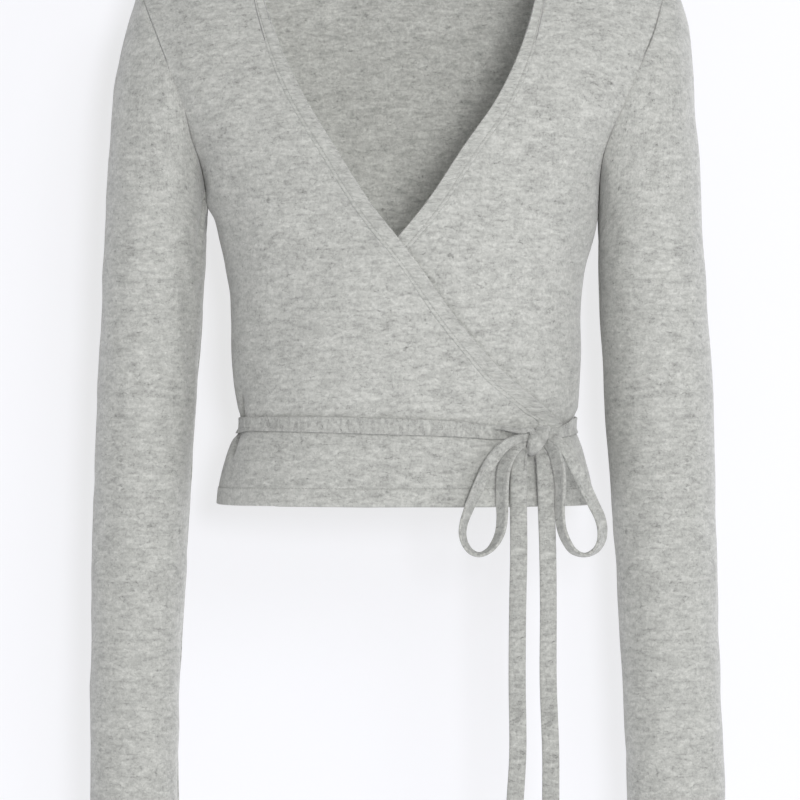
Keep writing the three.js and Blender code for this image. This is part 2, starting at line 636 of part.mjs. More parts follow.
// A flat strip along a route, with rounded edges and flat ends.
function strip(route, steps) {
  const path = new THREE.CatmullRomCurve3(route.map((r) => new THREE.Vector3(r.x, r.y, r.z)));
  const share = route.map((r, i) => ({ ...r, i }));
  const width = curveThrough(share, "i", "width");
  const turn = curveThrough(share, "i", "turn");
  const side = 0.32; // share of the half width that is rounded off
  const section = [
    [-1, 0], [-1 + side, -1], [1 - side, -1], [1, 0], [1 - side, 1], [-1 + side, 1],
  ];
  const positions = [];
  for (let step = 0; step <= steps; step++) {
    const at = (step / steps) * (route.length - 1);
    const centre = path.getPoint(step / steps);
    const along = path.getTangent(step / steps);
    const across = new THREE.Vector3(0, 1, 0).cross(along).normalize();
    const angle = THREE.MathUtils.degToRad(turn(at));
    across.applyAxisAngle(along, angle);
    const out = across.clone().cross(along).normalize();
    for (const [u, v] of section) {
      const point = centre
        .clone()
        .addScaledVector(across, (u * width(at)) / 2)
        .addScaledVector(out, (v * TIE_THICK) / 2);
      positions.push(point.x, point.y, point.z);
    }
  }
  const n = section.length;
  const index = [];
  for (let step = 0; step < steps; step++) {
    for (let i = 0; i < n; i++) {
      const [a, b] = [step * n + i, step * n + ((i + 1) % n)];
      index.push(a, a + n, b, b, a + n, b + n);
    }
  }
  for (let i = 1; i + 1 < n; i++) {
    index.push(0, i, i + 1);
    index.push(steps * n, steps * n + i + 1, steps * n + i);
  }
  const geometry = new THREE.BufferGeometry();
  geometry.setAttribute("position", new THREE.Float32BufferAttribute(positions, 3));
  geometry.setIndex(index);
  return geometry;
}

function knot() {
  const ball = new THREE.SphereGeometry(1, KNOT_FACETS, KNOT_FACETS / 2);
  ball.scale(KNOT.halfWidth, KNOT.halfHeight, KNOT.halfDepth);
  ball.rotateX(HALF_TURN / 2);
  return ball;
}

const root = new THREE.Group();

function cloth(name, geometry, color) {
  const material = new THREE.MeshStandardMaterial({ color, roughness: 0.95, metalness: 0 });
  const mesh = new THREE.Mesh(geometry, material);
  mesh.name = name;
  root.add(mesh);
  return mesh;
}

cloth("back_panel", backPanel(), 0xa9aaa4);
cloth("front_over", frontPanel(FRONTS.over), 0xb9bab4);
cloth("front_under", frontPanel(FRONTS.under), 0xbebfba);
cloth("sleeve_right", sleevePanel("right"), 0xb5b5b0);
cloth("sleeve_left", sleevePanel("left"), 0xbfbfba);
cloth("band_over", frontBand(FRONTS.over), 0xb7b8b2);
cloth("band_under", frontBand(FRONTS.under), 0xb7b8b2);
cloth("band_back_neck", neckBandBack(), 0xb7b8b2);
cloth("tie_waist", waistTie(), 0xb5b7b1);
cloth("tie_loop_right", strip(LOOP_RIGHT, LOOP_STEPS), 0xb5b7b1);
cloth("tie_loop_left", strip(LOOP_LEFT, LOOP_STEPS), 0xb5b7b1);
cloth("tie_tail_right", strip(TAIL_RIGHT, TAIL_STEPS), 0xb5b7b1);
cloth("tie_tail_left", strip(TAIL_LEFT, TAIL_STEPS), 0xb5b7b1);
cloth("tie_knot", knot(), 0xb5b7b1).position.set(KNOT.x, KNOT.y, KNOT.z);

export default root;
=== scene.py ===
# A cropped wrap cardigan in light grey heathered knit, filled out as worn, with its tie in a bow.
# The tables are in millimetres, from the level of the neck points, and meshes are made in metres.
import math

import bpy
import numpy as np
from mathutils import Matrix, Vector


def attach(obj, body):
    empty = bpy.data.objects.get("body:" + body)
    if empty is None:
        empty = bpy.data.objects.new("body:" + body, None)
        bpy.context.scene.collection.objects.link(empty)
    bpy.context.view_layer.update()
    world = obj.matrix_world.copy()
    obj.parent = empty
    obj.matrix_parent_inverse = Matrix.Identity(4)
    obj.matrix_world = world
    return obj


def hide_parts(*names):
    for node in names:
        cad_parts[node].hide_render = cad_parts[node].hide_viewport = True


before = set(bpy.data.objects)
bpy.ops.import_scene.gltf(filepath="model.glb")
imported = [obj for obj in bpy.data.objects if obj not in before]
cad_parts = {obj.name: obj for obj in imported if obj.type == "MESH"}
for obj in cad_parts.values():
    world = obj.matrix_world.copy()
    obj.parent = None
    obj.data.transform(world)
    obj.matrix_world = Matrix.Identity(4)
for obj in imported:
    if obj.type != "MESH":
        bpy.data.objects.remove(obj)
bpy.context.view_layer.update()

MM = 0.001

# Cloth
WALL = 1.8
BAND_RAISE = 0.35
SEAM_GAP = 0.3
BAND_GAP = 0.45
LAYER = 3.6
NECK_BAND_WIDTH = 10
BAND_END_Z = -358
SHOULDER_SLOPE = 0.41
SHOULDER_EASE_Z = -40
NECK_DROP = 24
NECK_CURVE = 2.2
HEM_TURN = 11.5
CUFF_TURN = 14
TURN_RAISE = 0.4
TURN_GROOVE = 0.35
TURN_GROOVE_WIDTH = 0.7
TURN_STEP = (-0.4, 0.8)
RIPPLE_WAVES = (92, 71, 54, 43, 33, 26)
RIPPLE_HIGH = 0.22
FOLD_FADE = 0.25

# How far the edges of the cloth reach over their own lines: everywhere, and at an armhole, where the seam
# is open at the shoulder and closed lower down.
EDGE_REACH = 0.6
SEAM_REACH_LOW = 0.95
SEAM_REACH_HIGH = 0.38
SEAM_LOW_Z = -108
SEAM_HIGH_Z = -80

# Levels
HEM_Z = -408.6
SHOULDER_Z = -35
ARMPIT_Z = {"left": -205, "right": -196}
CUFF_Z = -648

# How far the cloth draws in along the front of each armhole, and over which heights and how wide a strip.
ARM_SINK = {"right": 11.0, "left": 6.0}
SINK_TOP_Z = -122
SINK_FULL_Z = -186
SINK_FOOT = 13
SINK_REACH = 8

# Where the over front climbs over the edge of the under one, and where the tie comes down again beyond the
# edge of the over front: each starts and ends at these distances from that edge.
LAYER_RISE = (-42, -6)
TIE_FALL = (4, 26)

# Rows and columns of the panels: steps between rows where they are even, else counts. Rows are closest
# together along the stitches of a turned edge.
HEM_ROW = 1.9
FINE_ROW = 0.4
LOWER_ROW = 2
BAND_END_ROW = 0.8
BODY_ROW = 2.6
SLEEVE_ROW = 3
BESIDE_TURN = 2
ARM_ROWS = 60
CAP_ROWS = 44
BAND_ROWS = 700
FRONT_COLUMNS = 150
FRONT_CROWDING = 0.55
BACK_COLUMNS = 150
SHOULDER_SHARE = 0.2
NECK_COLUMNS = 120
SLEEVE_COLUMNS = 120
RIM_STEPS = 4

# Where folds fade out: beside an edge, beside an armhole seam, below the shoulders, below a sleeve's seam.
QUIET_EDGE = (0, 14)
QUIET_SEAM = (0.2, 2.2)
QUIET_SHOULDER = (-34, -60)
QUIET_CAP = (3, 24)

# Tie
TIE_WIDTH = 12
TIE_THICK = 2.6
BELT_THICK = 1.4
TIE_CLEAR = 0.1
TIE_ROUND = 26.5
SECTION_POINTS = 32
SECTION_SAMPLES = 2880
WRAP_POINTS = 36
SECTION_ACROSS_POWER = 0.66
SECTION_OUT_POWER = 0.86
LOOP_STEPS = 220
END_STEPS = 260
BELT_STEPS = 560
WRAP_STEPS = 60

# Level sections of the body: height, half width to the right and to the left, depth in front and behind,
# squareness of the oval.
BODY = [
    (0, 107, 99, 26, 34, 2.1),
    (-18, 149, 145, 45, 50, 2.1),
    (-35, 190.5, 190.5, 57, 62, 2.15),
    (-60, 202.5, 203, 68, 73, 2.2),
    (-90, 196.5, 196.5, 79, 83, 2.25),
    (-120, 182, 180.5, 87, 89, 2.3),
    (-150, 163, 157.5, 93, 92, 2.35),
    (-175, 147, 143.5, 96, 93, 2.4),
    (-196, 141, 140, 98, 92, 2.4),
    (-205, 136, 139, 98, 91.5, 2.4),
    (-220, 132.4, 136, 98, 90, 2.4),
    (-240, 128.2, 130.5, 97, 88, 2.4),
    (-262, 124.8, 127.6, 95.5, 86, 2.35),
    (-305, 124, 126.6, 91, 81, 2.3),
    (-340, 119, 125, 87.5, 77.5, 2.3),
    (-347, 117, 122.4, 87, 77, 2.3),
    (-355, 117.2, 122, 87, 77, 2.3),
    (-359.5, 120, 124.2, 87.4, 77.4, 2.3),
    (-364, 123.4, 126.2, 88, 78, 2.3),
    (-371, 126.4, 128.4, 89, 79, 2.35),
    (-378, 128.6, 130.1, 90, 80, 2.35),
    (-389, 131.4, 133, 91.5, 82, 2.35),
    (-399, 133.2, 135.4, 93.3, 84, 2.4),
    (-410, 134, 137, 95, 86, 2.4),
]

# Armhole seams: height, distance out on the right and on the left.
ARMHOLE = [
    (-35, 190.5, 190.5),
    (-50, 185.8, 184.4),
    (-73, 176.8, 177.5),
    (-97, 167.3, 167.5),
    (-113, 161.2, 161),
    (-131, 154.4, 153),
    (-150, 150.2, 144.8),
    (-165, 145.2, 140.7),
    (-181, 142.2, 139.5),
    (-196, 141, 139.1),
    (-205, 141, 139),
]

# Edge of the over front: height, x, width of its band.
OVER_EDGE = [
    (0, -107, 8),
    (-30, -103, 7),
    (-54, -98, 7.2),
    (-85, -87.5, 8.8),
    (-118, -72.3, 10.6),
    (-160, -47.5, 11),
    (-198, -23.5, 11),
    (-235, 5.5, 11),
    (-274, 33, 11),
    (-297, 51.3, 11),
    (-315, 68, 11.5),
    (-331, 86.5, 12),
    (-347, 105, 12),
    (-351, 108.5, 12),
]

# Edge of the under front in the same way, with x measured to the other side.
UNDER_EDGE = [
    (0, -99, 8),
    (-30, -96, 7),
    (-54, -91.6, 7.2),
    (-84, -83.2, 8.8),
    (-121, -66.7, 10.6),
    (-159.5, -40.8, 11),
    (-196.5, -16.4, 11),
    (-235, 14.5, 11),
    (-274, 38.5, 11),
    (-297, 55, 11),
    (-315, 70, 11.5),
    (-331, 85, 12),
    (-347, 97, 12),
    (-351, 99, 12),
]
EDGE_LOW_Z = -351
LOWER_TOP_Z = -366
OVER_LOWER_X = 92
UNDER_LOWER_X = 90

# Level sections of the sleeves: height, centre across, half width, centre in depth, half depth.
SLEEVE = {
    "right": [
        (-228, 179, 36.3, 0, 46),
        (-263, 181.1, 36.4, 2, 45),
        (-335, 185.4, 35.6, 3, 43.5),
        (-407, 188.7, 34.6, 2, 42),
        (-479, 191.5, 33.4, -2, 39.5),
        (-551, 193.2, 31.6, -7, 36.5),
        (-608, 193.1, 31.4, -11, 34.5),
        (CUFF_Z, 193.1, 31.4, -13, 33.5),
    ],
    "left": [
        (-228, 178, 37.9, 0, 46),
        (-263, 179.7, 38.5, 2, 45),
        (-335, 183.6, 38.9, 3, 43.5),
        (-407, 186.8, 37.1, 2, 42),
        (-479, 189.7, 35.6, -2, 39.5),
        (-551, 192.6, 34.9, -7, 36.5),
        (-608, 194.8, 34.9, -11, 34.5),
        (CUFF_Z, 195.6, 34.9, -13, 33.5),
    ],
}
SLEEVE_POWER = 2.2
SLEEVE_SLIT = 0.004
CAP_LEAN = 0.4

# Outer line of the sleeve caps: height, distance out.
CAP_LINE = {
    "right": [
        (-35, 190.5),
        (-48, 193.4),
        (-56, 195.8),
        (-64, 198.2),
        (-77, 201.6),
        (-90, 204.5),
        (-104, 207.2),
        (-119, 209),
        (-148, 210.9),
        (-176, 212.6),
        (-205, 214.3),
        (-236, 216.1),
    ],
    "left": [
        (-35, 190.5),
        (-41, 196),
        (-47, 199.2),
        (-56, 202.2),
        (-68, 205.2),
        (-90, 207.6),
        (-119, 209.2),
        (-148, 211),
        (-191, 213.2),
        (-236, 216.4),
    ],
}

# Centre line of the tie round the waist: angle round the body in degrees, height, width.
WAIST_TIE = [
    (35, -357.4, 3.2),
    (41, -357, 3.2),
    (44.5, -357, 5.5),
    (47, -357.6, 9.4),
    (49, -357.9, 10.8),
    (53, -357.8, 11),
    (57, -357, 11.4),
    (62, -356, 12),
    (69.5, -355, 12),
    (92, -353.6, 12.2),
    (135, -352.2, 12.6),
    (180, -353.3, 12.4),
    (270, -352, 12.2),
    (360, -352.6, 12.2),
    (376, -354.4, 12),
    (380, -355.6, 11),
    (383, -357, 9.6),
    (387, -358.6, 8),
    (395, -361, 5),
]

# Routes of the bow: x, y, z, width of the strip, turn of its flat side from the front in degrees.
LOOP_RIGHT = [
    (89.7, -82, -360.2, 5, 0),
    (84.7, -86.5, -360.9, 5.6, 0),
    (79, -90, -362, 6.2, -6),
    (73.4, -92.5, -364.2, 7.2, -14),
    (68.1, -94.5, -367.9, 8.2, -22),
    (63.2, -96, -373.2, 9.4, -30),
    (58.4, -97.3, -380.1, 10.6, -38),
    (54.2, -98.4, -388.4, 11.6, -45),
    (49, -99.6, -399.4, 12, -52),
    (44.1, -100.5, -410.5, 12, -60),
    (41, -101, -419.1, 12, -66),
    (39.9, -101.3, -426.7, 12, -70),
    (41.5, -101.5, -433.9, 12, -74),
    (45.8, -101.6, -439.8, 12, -80),
    (52, -101.6, -442, 12, -86),
    (58.3, -101.4, -439.5, 12, -80),
    (63.3, -101, -433.8, 12, -70),
    (66.8, -100.5, -425.7, 12, -61),
    (68.1, -99.5, -415.7, 12, -55),
    (67.9, -98.6, -405.3, 12, -50),
    (68.1, -97.8, -395, 12, -47),
    (69, -96.6, -384.6, 11.8, -42),
    (71.5, -94.5, -375.7, 11, -36),
    (75.5, -92, -369.5, 9.6, -28),
    (80.5, -88.5, -365.5, 7.4, -14),
    (86.2, -84, -363.9, 5.2, 0),
]
LOOP_LEFT = [
    (95.3, -82, -358.8, 5, 0),
    (100, -85.5, -359.3, 6, -4),
    (104.8, -88, -361.6, 7, -10),
    (109.2, -89.5, -365.9, 8, -18),
    (113.4, -90, -371.9, 9.2, -26),
    (117.6, -89.5, -379.6, 10.4, -34),
    (122.2, -88, -388.6, 11.4, -40),
    (127.1, -86, -398.4, 12, -46),
    (131.7, -84.5, -407.8, 12, -50),
    (135.9, -83.5, -416.6, 12, -53),
    (137.7, -83, -425.3, 12, -56),
    (136.8, -83, -432.9, 12, -62),
    (132.8, -83.3, -439.2, 12, -72),
    (125.5, -84, -442.4, 12, -84),
    (118.1, -85.3, -439.7, 12, -72),
    (113.2, -87, -433.1, 12, -66),
    (109.8, -88.5, -424.4, 12, -64),
    (108.5, -89.8, -413.9, 12, -63),
    (108.6, -90.5, -403.5, 12, -62),
    (108.7, -90.8, -393.1, 12, -58),
    (107.8, -90.5, -383.4, 12, -48),
    (105.6, -89.5, -374.4, 11, -42),
    (102.6, -87.5, -367.8, 9.5, -30),
    (99, -85, -363.9, 7.5, -12),
    (94, -81, -362.3, 5, 0),
]
TAIL_RIGHT = [
    (86.3, -81, -362, 5, 0),
    (84.4, -84.5, -366.1, 5.6, 0),
    (82.6, -86.6, -369.6, 7.4, 0),
    (81, -88, -374.4, 8.6, 0),
    (79.9, -89, -380.6, 10.6, 0),
    (79.5, -89.6, -388.9, 11.6, 0),
    (79.4, -90, -397.3, 12, 0),
    (79.3, -90.4, -409.7, 12, 0),
    (79.5, -91, -440, 12, 4),
    (78.7, -91.4, -480, 12, 8),
    (78.4, -91.6, -530, 12, 3),
    (78.8, -91.6, -580, 12, -3),
    (76.6, -91.6, -620, 12, 2),
    (76, -91.6, -652, 12, 4),
]
TAIL_LEFT = [
    (93.3, -80, -363.4, 6, 0),
    (94.7, -82.4, -367.5, 7.4, 0),
    (95.9, -83.8, -371.7, 9.4, 0),
    (97, -84.6, -376.9, 10.8, 0),
    (97.9, -85.2, -383.5, 11.8, 0),
    (98.6, -85.6, -394.6, 12, -2),
    (98.9, -86, -409.9, 12, -4),
    (99.8, -87, -440, 12, -6),
    (100.2, -87.4, -480, 12, -10),
    (100.1, -87.6, -530, 12, -4),
    (101.8, -87.6, -580, 12, 3),
    (101.8, -87.6, -625, 12, 0),
    (102.1, -87.6, -669, 12, -3),
]

# Lengthwise ridges along the strips: place and half width across, where the strip's edges are -1 and 1,
# height, and where each starts and ends along the strip.
LOOP_RIDGES = [(-0.82, 0.26, 0.7, 8, 190), (0.82, 0.26, 0.7, 8, 190)]
TAIL_RIDGES = [(-0.86, 0.22, 1.7, 2, 30)]

# The strand over the knot, and the small curl at its upper corner: x, y, z, width.
KNOT_WRAP = [
    (97.6, -75, -354.7, 8.6),
    (97.1, -81, -355.7, 9.8),
    (95.2, -86.5, -358.6, 11.6),
    (92.5, -89, -362.2, 12.4),
    (90.7, -88.8, -366, 11),
    (89.6, -86.4, -369.3, 9),
    (89.2, -81.5, -370.9, 7.4),
    (89.4, -76, -371, 7),
]
KNOT_CURL = [
    (57.7, -84, -353.2, 2.4),
    (63.9, -85.4, -353.7, 2.8),
    (70.1, -86.4, -354.7, 3.1),
    (75.6, -87, -355.9, 3.4),
    (80.5, -87.6, -356.6, 3.6),
    (83.6, -88.6, -356.1, 3.9),
    (86.6, -89.4, -355.4, 4),
    (88.9, -89, -356.3, 4),
    (89.3, -87.4, -358.8, 4),
    (88.2, -85.5, -361.9, 3.6),
    (87.4, -82, -364.7, 3.2),
]

# Soft folds: x or distance round, height, at one end and at the other, half width, height of the fold.
FRONT_FOLDS = [
    (-116.2, -330, -112.8, -348, 1.4, -2.6),
    (-109, -330, -106, -348, 3.2, 0.9),
    (-118, -359, -122.6, -374, 1.5, -3.6),
    (-112.5, -362, -118, -380, 3.4, 1.1),
    (-128, -188, -122, -232, 5, -1.0),
    (-129, -172, -118, -232, 7, 0.9),
    (-107, -362, -109, -392, 5.5, 0.9),
    (-60, -362, -64, -404, 10, 0.8),
    (-28, -362, -24, -408, 11, -0.7),
    (14, -362, 10, -405, 9, 0.7),
    (112, -376, 122, -405, 5, -1.4),
    (118, -366, 128, -398, 4, 0.9),
    (128, -168, 124, -222, 5, -1.2),
    (119, -178, 114, -232, 6, 0.7),
    (-122, -178, -112, -240, 8, -0.9),
    (-96, -190, -84, -262, 12, 0.7),
    (-76, -326, -82, -347, 8, -0.6),
    (-30, -330, -34, -347, 9, 0.5),
    (62, -334, 70, -350, 5, -0.5),
    (-150, -104, -120, -150, 9, 0.6),
    (150, -110, 122, -152, 9, 0.6),
]
BACK_FOLDS = [
    (-96, -300, -104, -347, 7, -1.5),
    (-70, -296, -62, -346, 8, 1.1),
    (-34, -306, -40, -347, 7, -1.3),
    (-6, -292, -2, -346, 9, 1.0),
    (30, -304, 26, -347, 7, -1.4),
    (58, -298, 66, -346, 8, 1.1),
    (92, -302, 98, -347, 7, -1.3),
    (-104, -362, -110, -404, 6, -1.5),
    (-72, -362, -70, -402, 9, 1.1),
    (-38, -362, -36, -408, 8, -1.2),
    (-4, -362, -8, -398, 9, 1.0),
    (34, -362, 36, -406, 8, -1.4),
    (70, -362, 76, -400, 9, 1.1),
    (104, -362, 112, -404, 6, -1.3),
    (-130, -120, -92, -190, 11, 1.0),
    (-118, -160, -84, -238, 12, -0.9),
    (128, -118, 94, -186, 11, 1.0),
    (116, -158, 82, -232, 12, -0.9),
    (-40, -60, 44, -64, 10, -0.6),
    (-112, -230, -40, -282, 12, 0.7),
    (110, -236, 46, -276, 12, 0.7),
]
SLEEVE_FOLDS = {
    "right": [
        (104, -182, 100, -246, 5, -1.8),
        (86, -236, 97, -300, 6, -1.6),
        (97, -296, 106, -350, 5, -1.4),
        (88, -324, 84, -384, 7, -1.0),
        (118, -250, 70, -286, 7, -1.2),
        (112, -282, 60, -300, 8, 0.8),
        (100, -330, 52, -352, 9, -0.8),
        (78, -372, 20, -392, 9, 0.7),
        (90, -430, 40, -452, 9, -0.8),
        (60, -498, 96, -520, 8, 0.7),
        (70, -560, 34, -578, 8, -0.7),
        (88, -606, 48, -618, 7, 0.6),
        (-40, -352, -100, -372, 9, -1.4),
        (-34, -376, -96, -398, 9, 1.2),
        (-44, -404, -104, -418, 8, -1.2),
        (-100, -250, -60, -290, 8, -1.2),
        (-60, -470, -20, -500, 9, 0.8),
        (-80, -560, -40, -584, 8, -0.8),
        (6, -130, 10, -190, 12, 0.8),
    ],
    "left": [
        (114, -254, 72, -280, 7, -1.1),
        (104, -290, 58, -312, 8, 0.8),
        (98, -344, 46, -360, 9, -0.8),
        (64, -392, 104, -418, 9, 0.7),
        (92, -446, 44, -460, 9, -0.7),
        (54, -514, 92, -532, 8, 0.7),
        (80, -572, 40, -590, 8, -0.7),
        (90, -618, 56, -626, 7, 0.5),
        (-36, -358, -98, -374, 9, -1.4),
        (-40, -384, -92, -402, 9, 1.2),
        (-30, -410, -100, -428, 8, -1.1),
        (-98, -256, -56, -284, 8, -1.1),
        (-56, -480, -96, -498, 9, 0.8),
        (-76, -566, -34, -590, 8, -0.7),
        (8, -136, 6, -196, 12, 0.8),
    ],
}

FULL = 2 * math.pi
HALF = math.pi
MEAN_RADIUS = 105
HALF_GAP = SEAM_GAP / 2 / MEAN_RADIUS


# Form
def lerp(a, b, t):
    return a + (b - a) * t


def smooth(low, high, v):
    t = np.clip((v - low) / (high - low), 0, 1)
    return t * t * (3 - 2 * t)


def curve_through(table, column):
    """A smooth curve of one column against the first, with no overshoot."""
    rows = sorted(table)
    u = np.array([r[0] for r in rows], float)
    v = np.array([r[column] for r in rows], float)
    step = np.diff(u)
    rise = np.diff(v) / step
    slope = np.zeros(len(u))
    slope[0], slope[-1] = rise[0], rise[-1]
    for i in range(1, len(u) - 1):
        if rise[i - 1] * rise[i] > 0:
            before = 2 * step[i] + step[i - 1]
            after = step[i] + 2 * step[i - 1]
            slope[i] = (before + after) / (before / rise[i - 1] + after / rise[i])

    def at(x):
        x = np.asarray(x, float)
        i = np.clip(np.searchsorted(u, x, side="right") - 1, 0, len(step) - 1)
        t = np.clip((x - u[i]) / step[i], 0, 1)
        bend = slope[i] * (1 - t) ** 2 * t - slope[i + 1] * (1 - t) * t**2
        inside = lerp(v[i], v[i + 1], t * t * (3 - 2 * t)) + step[i] * bend
        return inside + np.minimum(x - u[0], 0) * slope[0] + np.maximum(x - u[-1], 0) * slope[-1]

    return at


BODY_RIGHT, BODY_LEFT, BODY_FRONT, BODY_BACK, BODY_POWER = [curve_through(BODY, k) for k in range(1, 6)]
ARM = {"right": curve_through(ARMHOLE, 1), "left": curve_through(ARMHOLE, 2)}
WIDE = {"right": BODY_RIGHT, "left": BODY_LEFT}


def run_length(points, axis=0):
    """Length along lines of points, from the start of its line to each point."""
    start = np.take(points, [0], axis)
    return np.cumsum(np.linalg.norm(np.diff(points, axis=axis, prepend=start), axis=-1), axis)


def unit(v):
    return v / np.maximum(np.linalg.norm(v, axis=-1, keepdims=True), 1e-9)


def body_point(angle, z):
    """Outer surface of the body: angle 0 is the left side, a quarter turn the middle of the front."""
    angle, z = np.broadcast_arrays(np.asarray(angle, float), np.asarray(z, float))
    c, s = np.cos(angle), np.sin(angle)
    wide = np.where(c < 0, BODY_RIGHT(z), BODY_LEFT(z))
    deep = np.where(s > 0, BODY_FRONT(z), BODY_BACK(z))
    power = BODY_POWER(z)
    r = (np.abs(c / wide) ** power + np.abs(s / deep) ** power) ** (-1 / power)
    return np.stack([r * c, -r * s, z], -1)


def body_normal(angle, z):
    along = body_point(angle + 0.01, z) - body_point(angle - 0.01, z)
    up = body_point(angle, z + 1) - body_point(angle, z - 1)
    out = unit(np.cross(up, along))
    away = body_point(angle, z)
    side = np.sum(out[..., :2] * away[..., :2], -1, keepdims=True)
    return np.where(side < 0, -out, out)


def depth_at(out, side, z, behind=False):
    deep = BODY_BACK(z) if behind else BODY_FRONT(z)
    power = BODY_POWER(z)
    share = np.clip(out / WIDE[side](z), 0, 1)
    return deep * (1 - share**power) ** (1 / power)


def angle_at(x, z):
    x, z = np.broadcast_arrays(np.asarray(x, float), np.asarray(z, float))
    depth = np.where(x < 0, depth_at(np.abs(x), "right", z), depth_at(np.abs(x), "left", z))
    return np.arctan2(depth, x)


def make_front(table, lower_x, side, sign):
    edge, band = curve_through(table, 1), curve_through(table, 2)

    def x(z):
        high = edge(np.maximum(z, EDGE_LOW_Z))
        return sign * lerp(high, lower_x, smooth(EDGE_LOW_Z, LOWER_TOP_Z, z))

    def across(z):
        lean = (edge(z + 1) - edge(z - 1)) / 2
        return band(z) * np.hypot(1, lean)

    return {"side": side, "sign": sign, "x": x, "across": across}


OVER = make_front(OVER_EDGE, OVER_LOWER_X, "right", 1)
UNDER = make_front(UNDER_EDGE, UNDER_LOWER_X, "left", -1)


def over_lift(angle, z):
    inside = (angle_at(UNDER["x"](z), z) - angle) * MEAN_RADIUS
    return LAYER * smooth(*LAYER_RISE, inside)


def tie_lift(angle, z):
    turned = np.where(angle >= FULL, angle - FULL, angle)
    beyond = (angle_at(OVER["x"](z), z) - turned) * MEAN_RADIUS
    lift = over_lift(turned, z) * (1 - smooth(*TIE_FALL, beyond))
    return np.where((angle > HALF) & (angle < FULL), 0, lift)


def arm_level(side, share):
    middle = (SHOULDER_Z + ARMPIT_Z[side]) / 2
    half = (SHOULDER_Z - ARMPIT_Z[side]) / 2
    return middle - half * np.cos(HALF * share)


def armhole_angle(side, z, behind):
    out = ARM[side](z)
    angle = np.arctan2(depth_at(out, side, z, behind), out)
    return np.where((z <= ARMPIT_Z[side] + 1e-6) | (z >= SHOULDER_Z - 1e-6), 0, angle)


def arm_sink(side, z):
    """How far the cloth of both sides draws in along the front of an armhole, low down."""
    low = ARMPIT_Z[side]
    return ARM_SINK[side] * smooth(SINK_TOP_Z, SINK_FULL_Z, z) * smooth(low, low + SINK_FOOT, z)


def inner_line(front, z, space):
    """Where the band of a front ends and its panel begins, with some space between them."""
    across = front["across"](z) + space
    drop = SHOULDER_SLOPE * across * smooth(SHOULDER_EASE_Z, 0, z)
    return front["x"](z) - front["sign"] * across, z - drop


def front_angle(x, z):
    return np.clip(angle_at(x, z), HALF_GAP, HALF - HALF_GAP)


# Flat lengths on the body
TABLE_TURNS = 720
TABLE_STEP = 2
TABLE_ANGLES = np.linspace(0, FULL, TABLE_TURNS + 1)
TABLE_LEVELS = np.arange(HEM_Z - 4, 5, TABLE_STEP)
TABLE_POINTS = body_point(TABLE_ANGLES[None, :], TABLE_LEVELS[:, None])
ROUND_LENGTH = run_length(TABLE_POINTS, 1)
UP_LENGTH = run_length(TABLE_POINTS, 0)


def look_up(table, angle, z):
    a = np.clip(angle / FULL * TABLE_TURNS, 0, TABLE_TURNS - 0.001)
    b = np.clip((z - TABLE_LEVELS[0]) / TABLE_STEP, 0, len(TABLE_LEVELS) - 1.001)
    i, j = a.astype(int), b.astype(int)
    f, g = a - i, b - j
    low = lerp(table[j, i], table[j, i + 1], f)
    high = lerp(table[j + 1, i], table[j + 1, i + 1], f)
    return lerp(low, high, g)


def body_flat(angle, z, middle):
    """Where a point of the body lies on the flat cloth: round from a middle line, and up from the hem."""
    u = look_up(ROUND_LENGTH, angle, z) - look_up(ROUND_LENGTH, np.full_like(angle, middle), z)
    return np.stack([u, look_up(UP_LENGTH, angle, z)], -1)


# Folds
def folds(table, u, v):
    """Height of all the soft folds of a table, each a rounded ridge or trough that fades at its ends."""
    lift = np.zeros_like(u)
    for u0, v0, u1, v1, half_width, high in table:
        du, dv = u1 - u0, v1 - v0
        length = math.hypot(du, dv)
        along = ((u - u0) * du + (v - v0) * dv) / length**2
        aside = ((u - u0) * dv - (v - v0) * du) / length
        ends = smooth(-FOLD_FADE, FOLD_FADE, along) * (1 - smooth(1 - FOLD_FADE, 1 + FOLD_FADE, along))
        lift += high * np.exp(-((aside / half_width) ** 2)) * ends
    return lift


def ripple(u, v, seed):
    """Slight unevenness of soft cloth, a third of a millimetre high."""
    random = np.random.default_rng(seed)
    lift = np.zeros_like(u)
    for wave in RIPPLE_WAVES:
        heading = random.uniform(0, HALF)
        phase = random.uniform(0, FULL)
        way = u * np.cos(heading) + v * np.sin(heading)
        lift += wave / RIPPLE_WAVES[0] * np.sin(way * FULL / wave + phase)
    return RIPPLE_HIGH * lift


def turned_edge(up, turn):
    """The doubled cloth of a hem: a little proud, with a groove along its stitches."""
    proud = TURN_RAISE * (1 - smooth(*TURN_STEP, up - turn))
    return proud - TURN_GROOVE * np.exp(-(((up - turn) / TURN_GROOVE_WIDTH) ** 2))


# Meshes
def placed(name, data):
    """A new object in the scene."""
    thing = bpy.data.objects.new(name, data)
    bpy.context.scene.collection.objects.link(thing)
    return thing


def make_mesh(name, points, faces, corners=None, flat=None, materials=(), smooth_shade=True, reverse=None):
    mesh = bpy.data.meshes.new(name)
    mesh.from_pydata((np.asarray(points) * MM).tolist(), [], faces)
    if flat is not None:
        layer = mesh.uv_layers.new(name="cloth")
        values = np.asarray(flat)[np.asarray(corners).ravel()] * MM
        layer.data.foreach_set("uv", values.astype(np.float32).ravel())
    if reverse is not None:
        mesh.attributes.new("reverse_side", "FLOAT", "POINT").data.foreach_set("value", reverse)
    if smooth_shade:
        mesh.polygons.foreach_set("use_smooth", [True] * len(mesh.polygons))
    mesh.update()
    for material in materials:
        mesh.materials.append(material)
    return placed(name, mesh)


def grid_normal(grid):
    return unit(np.cross(np.gradient(grid, axis=1), np.gradient(grid, axis=0)))


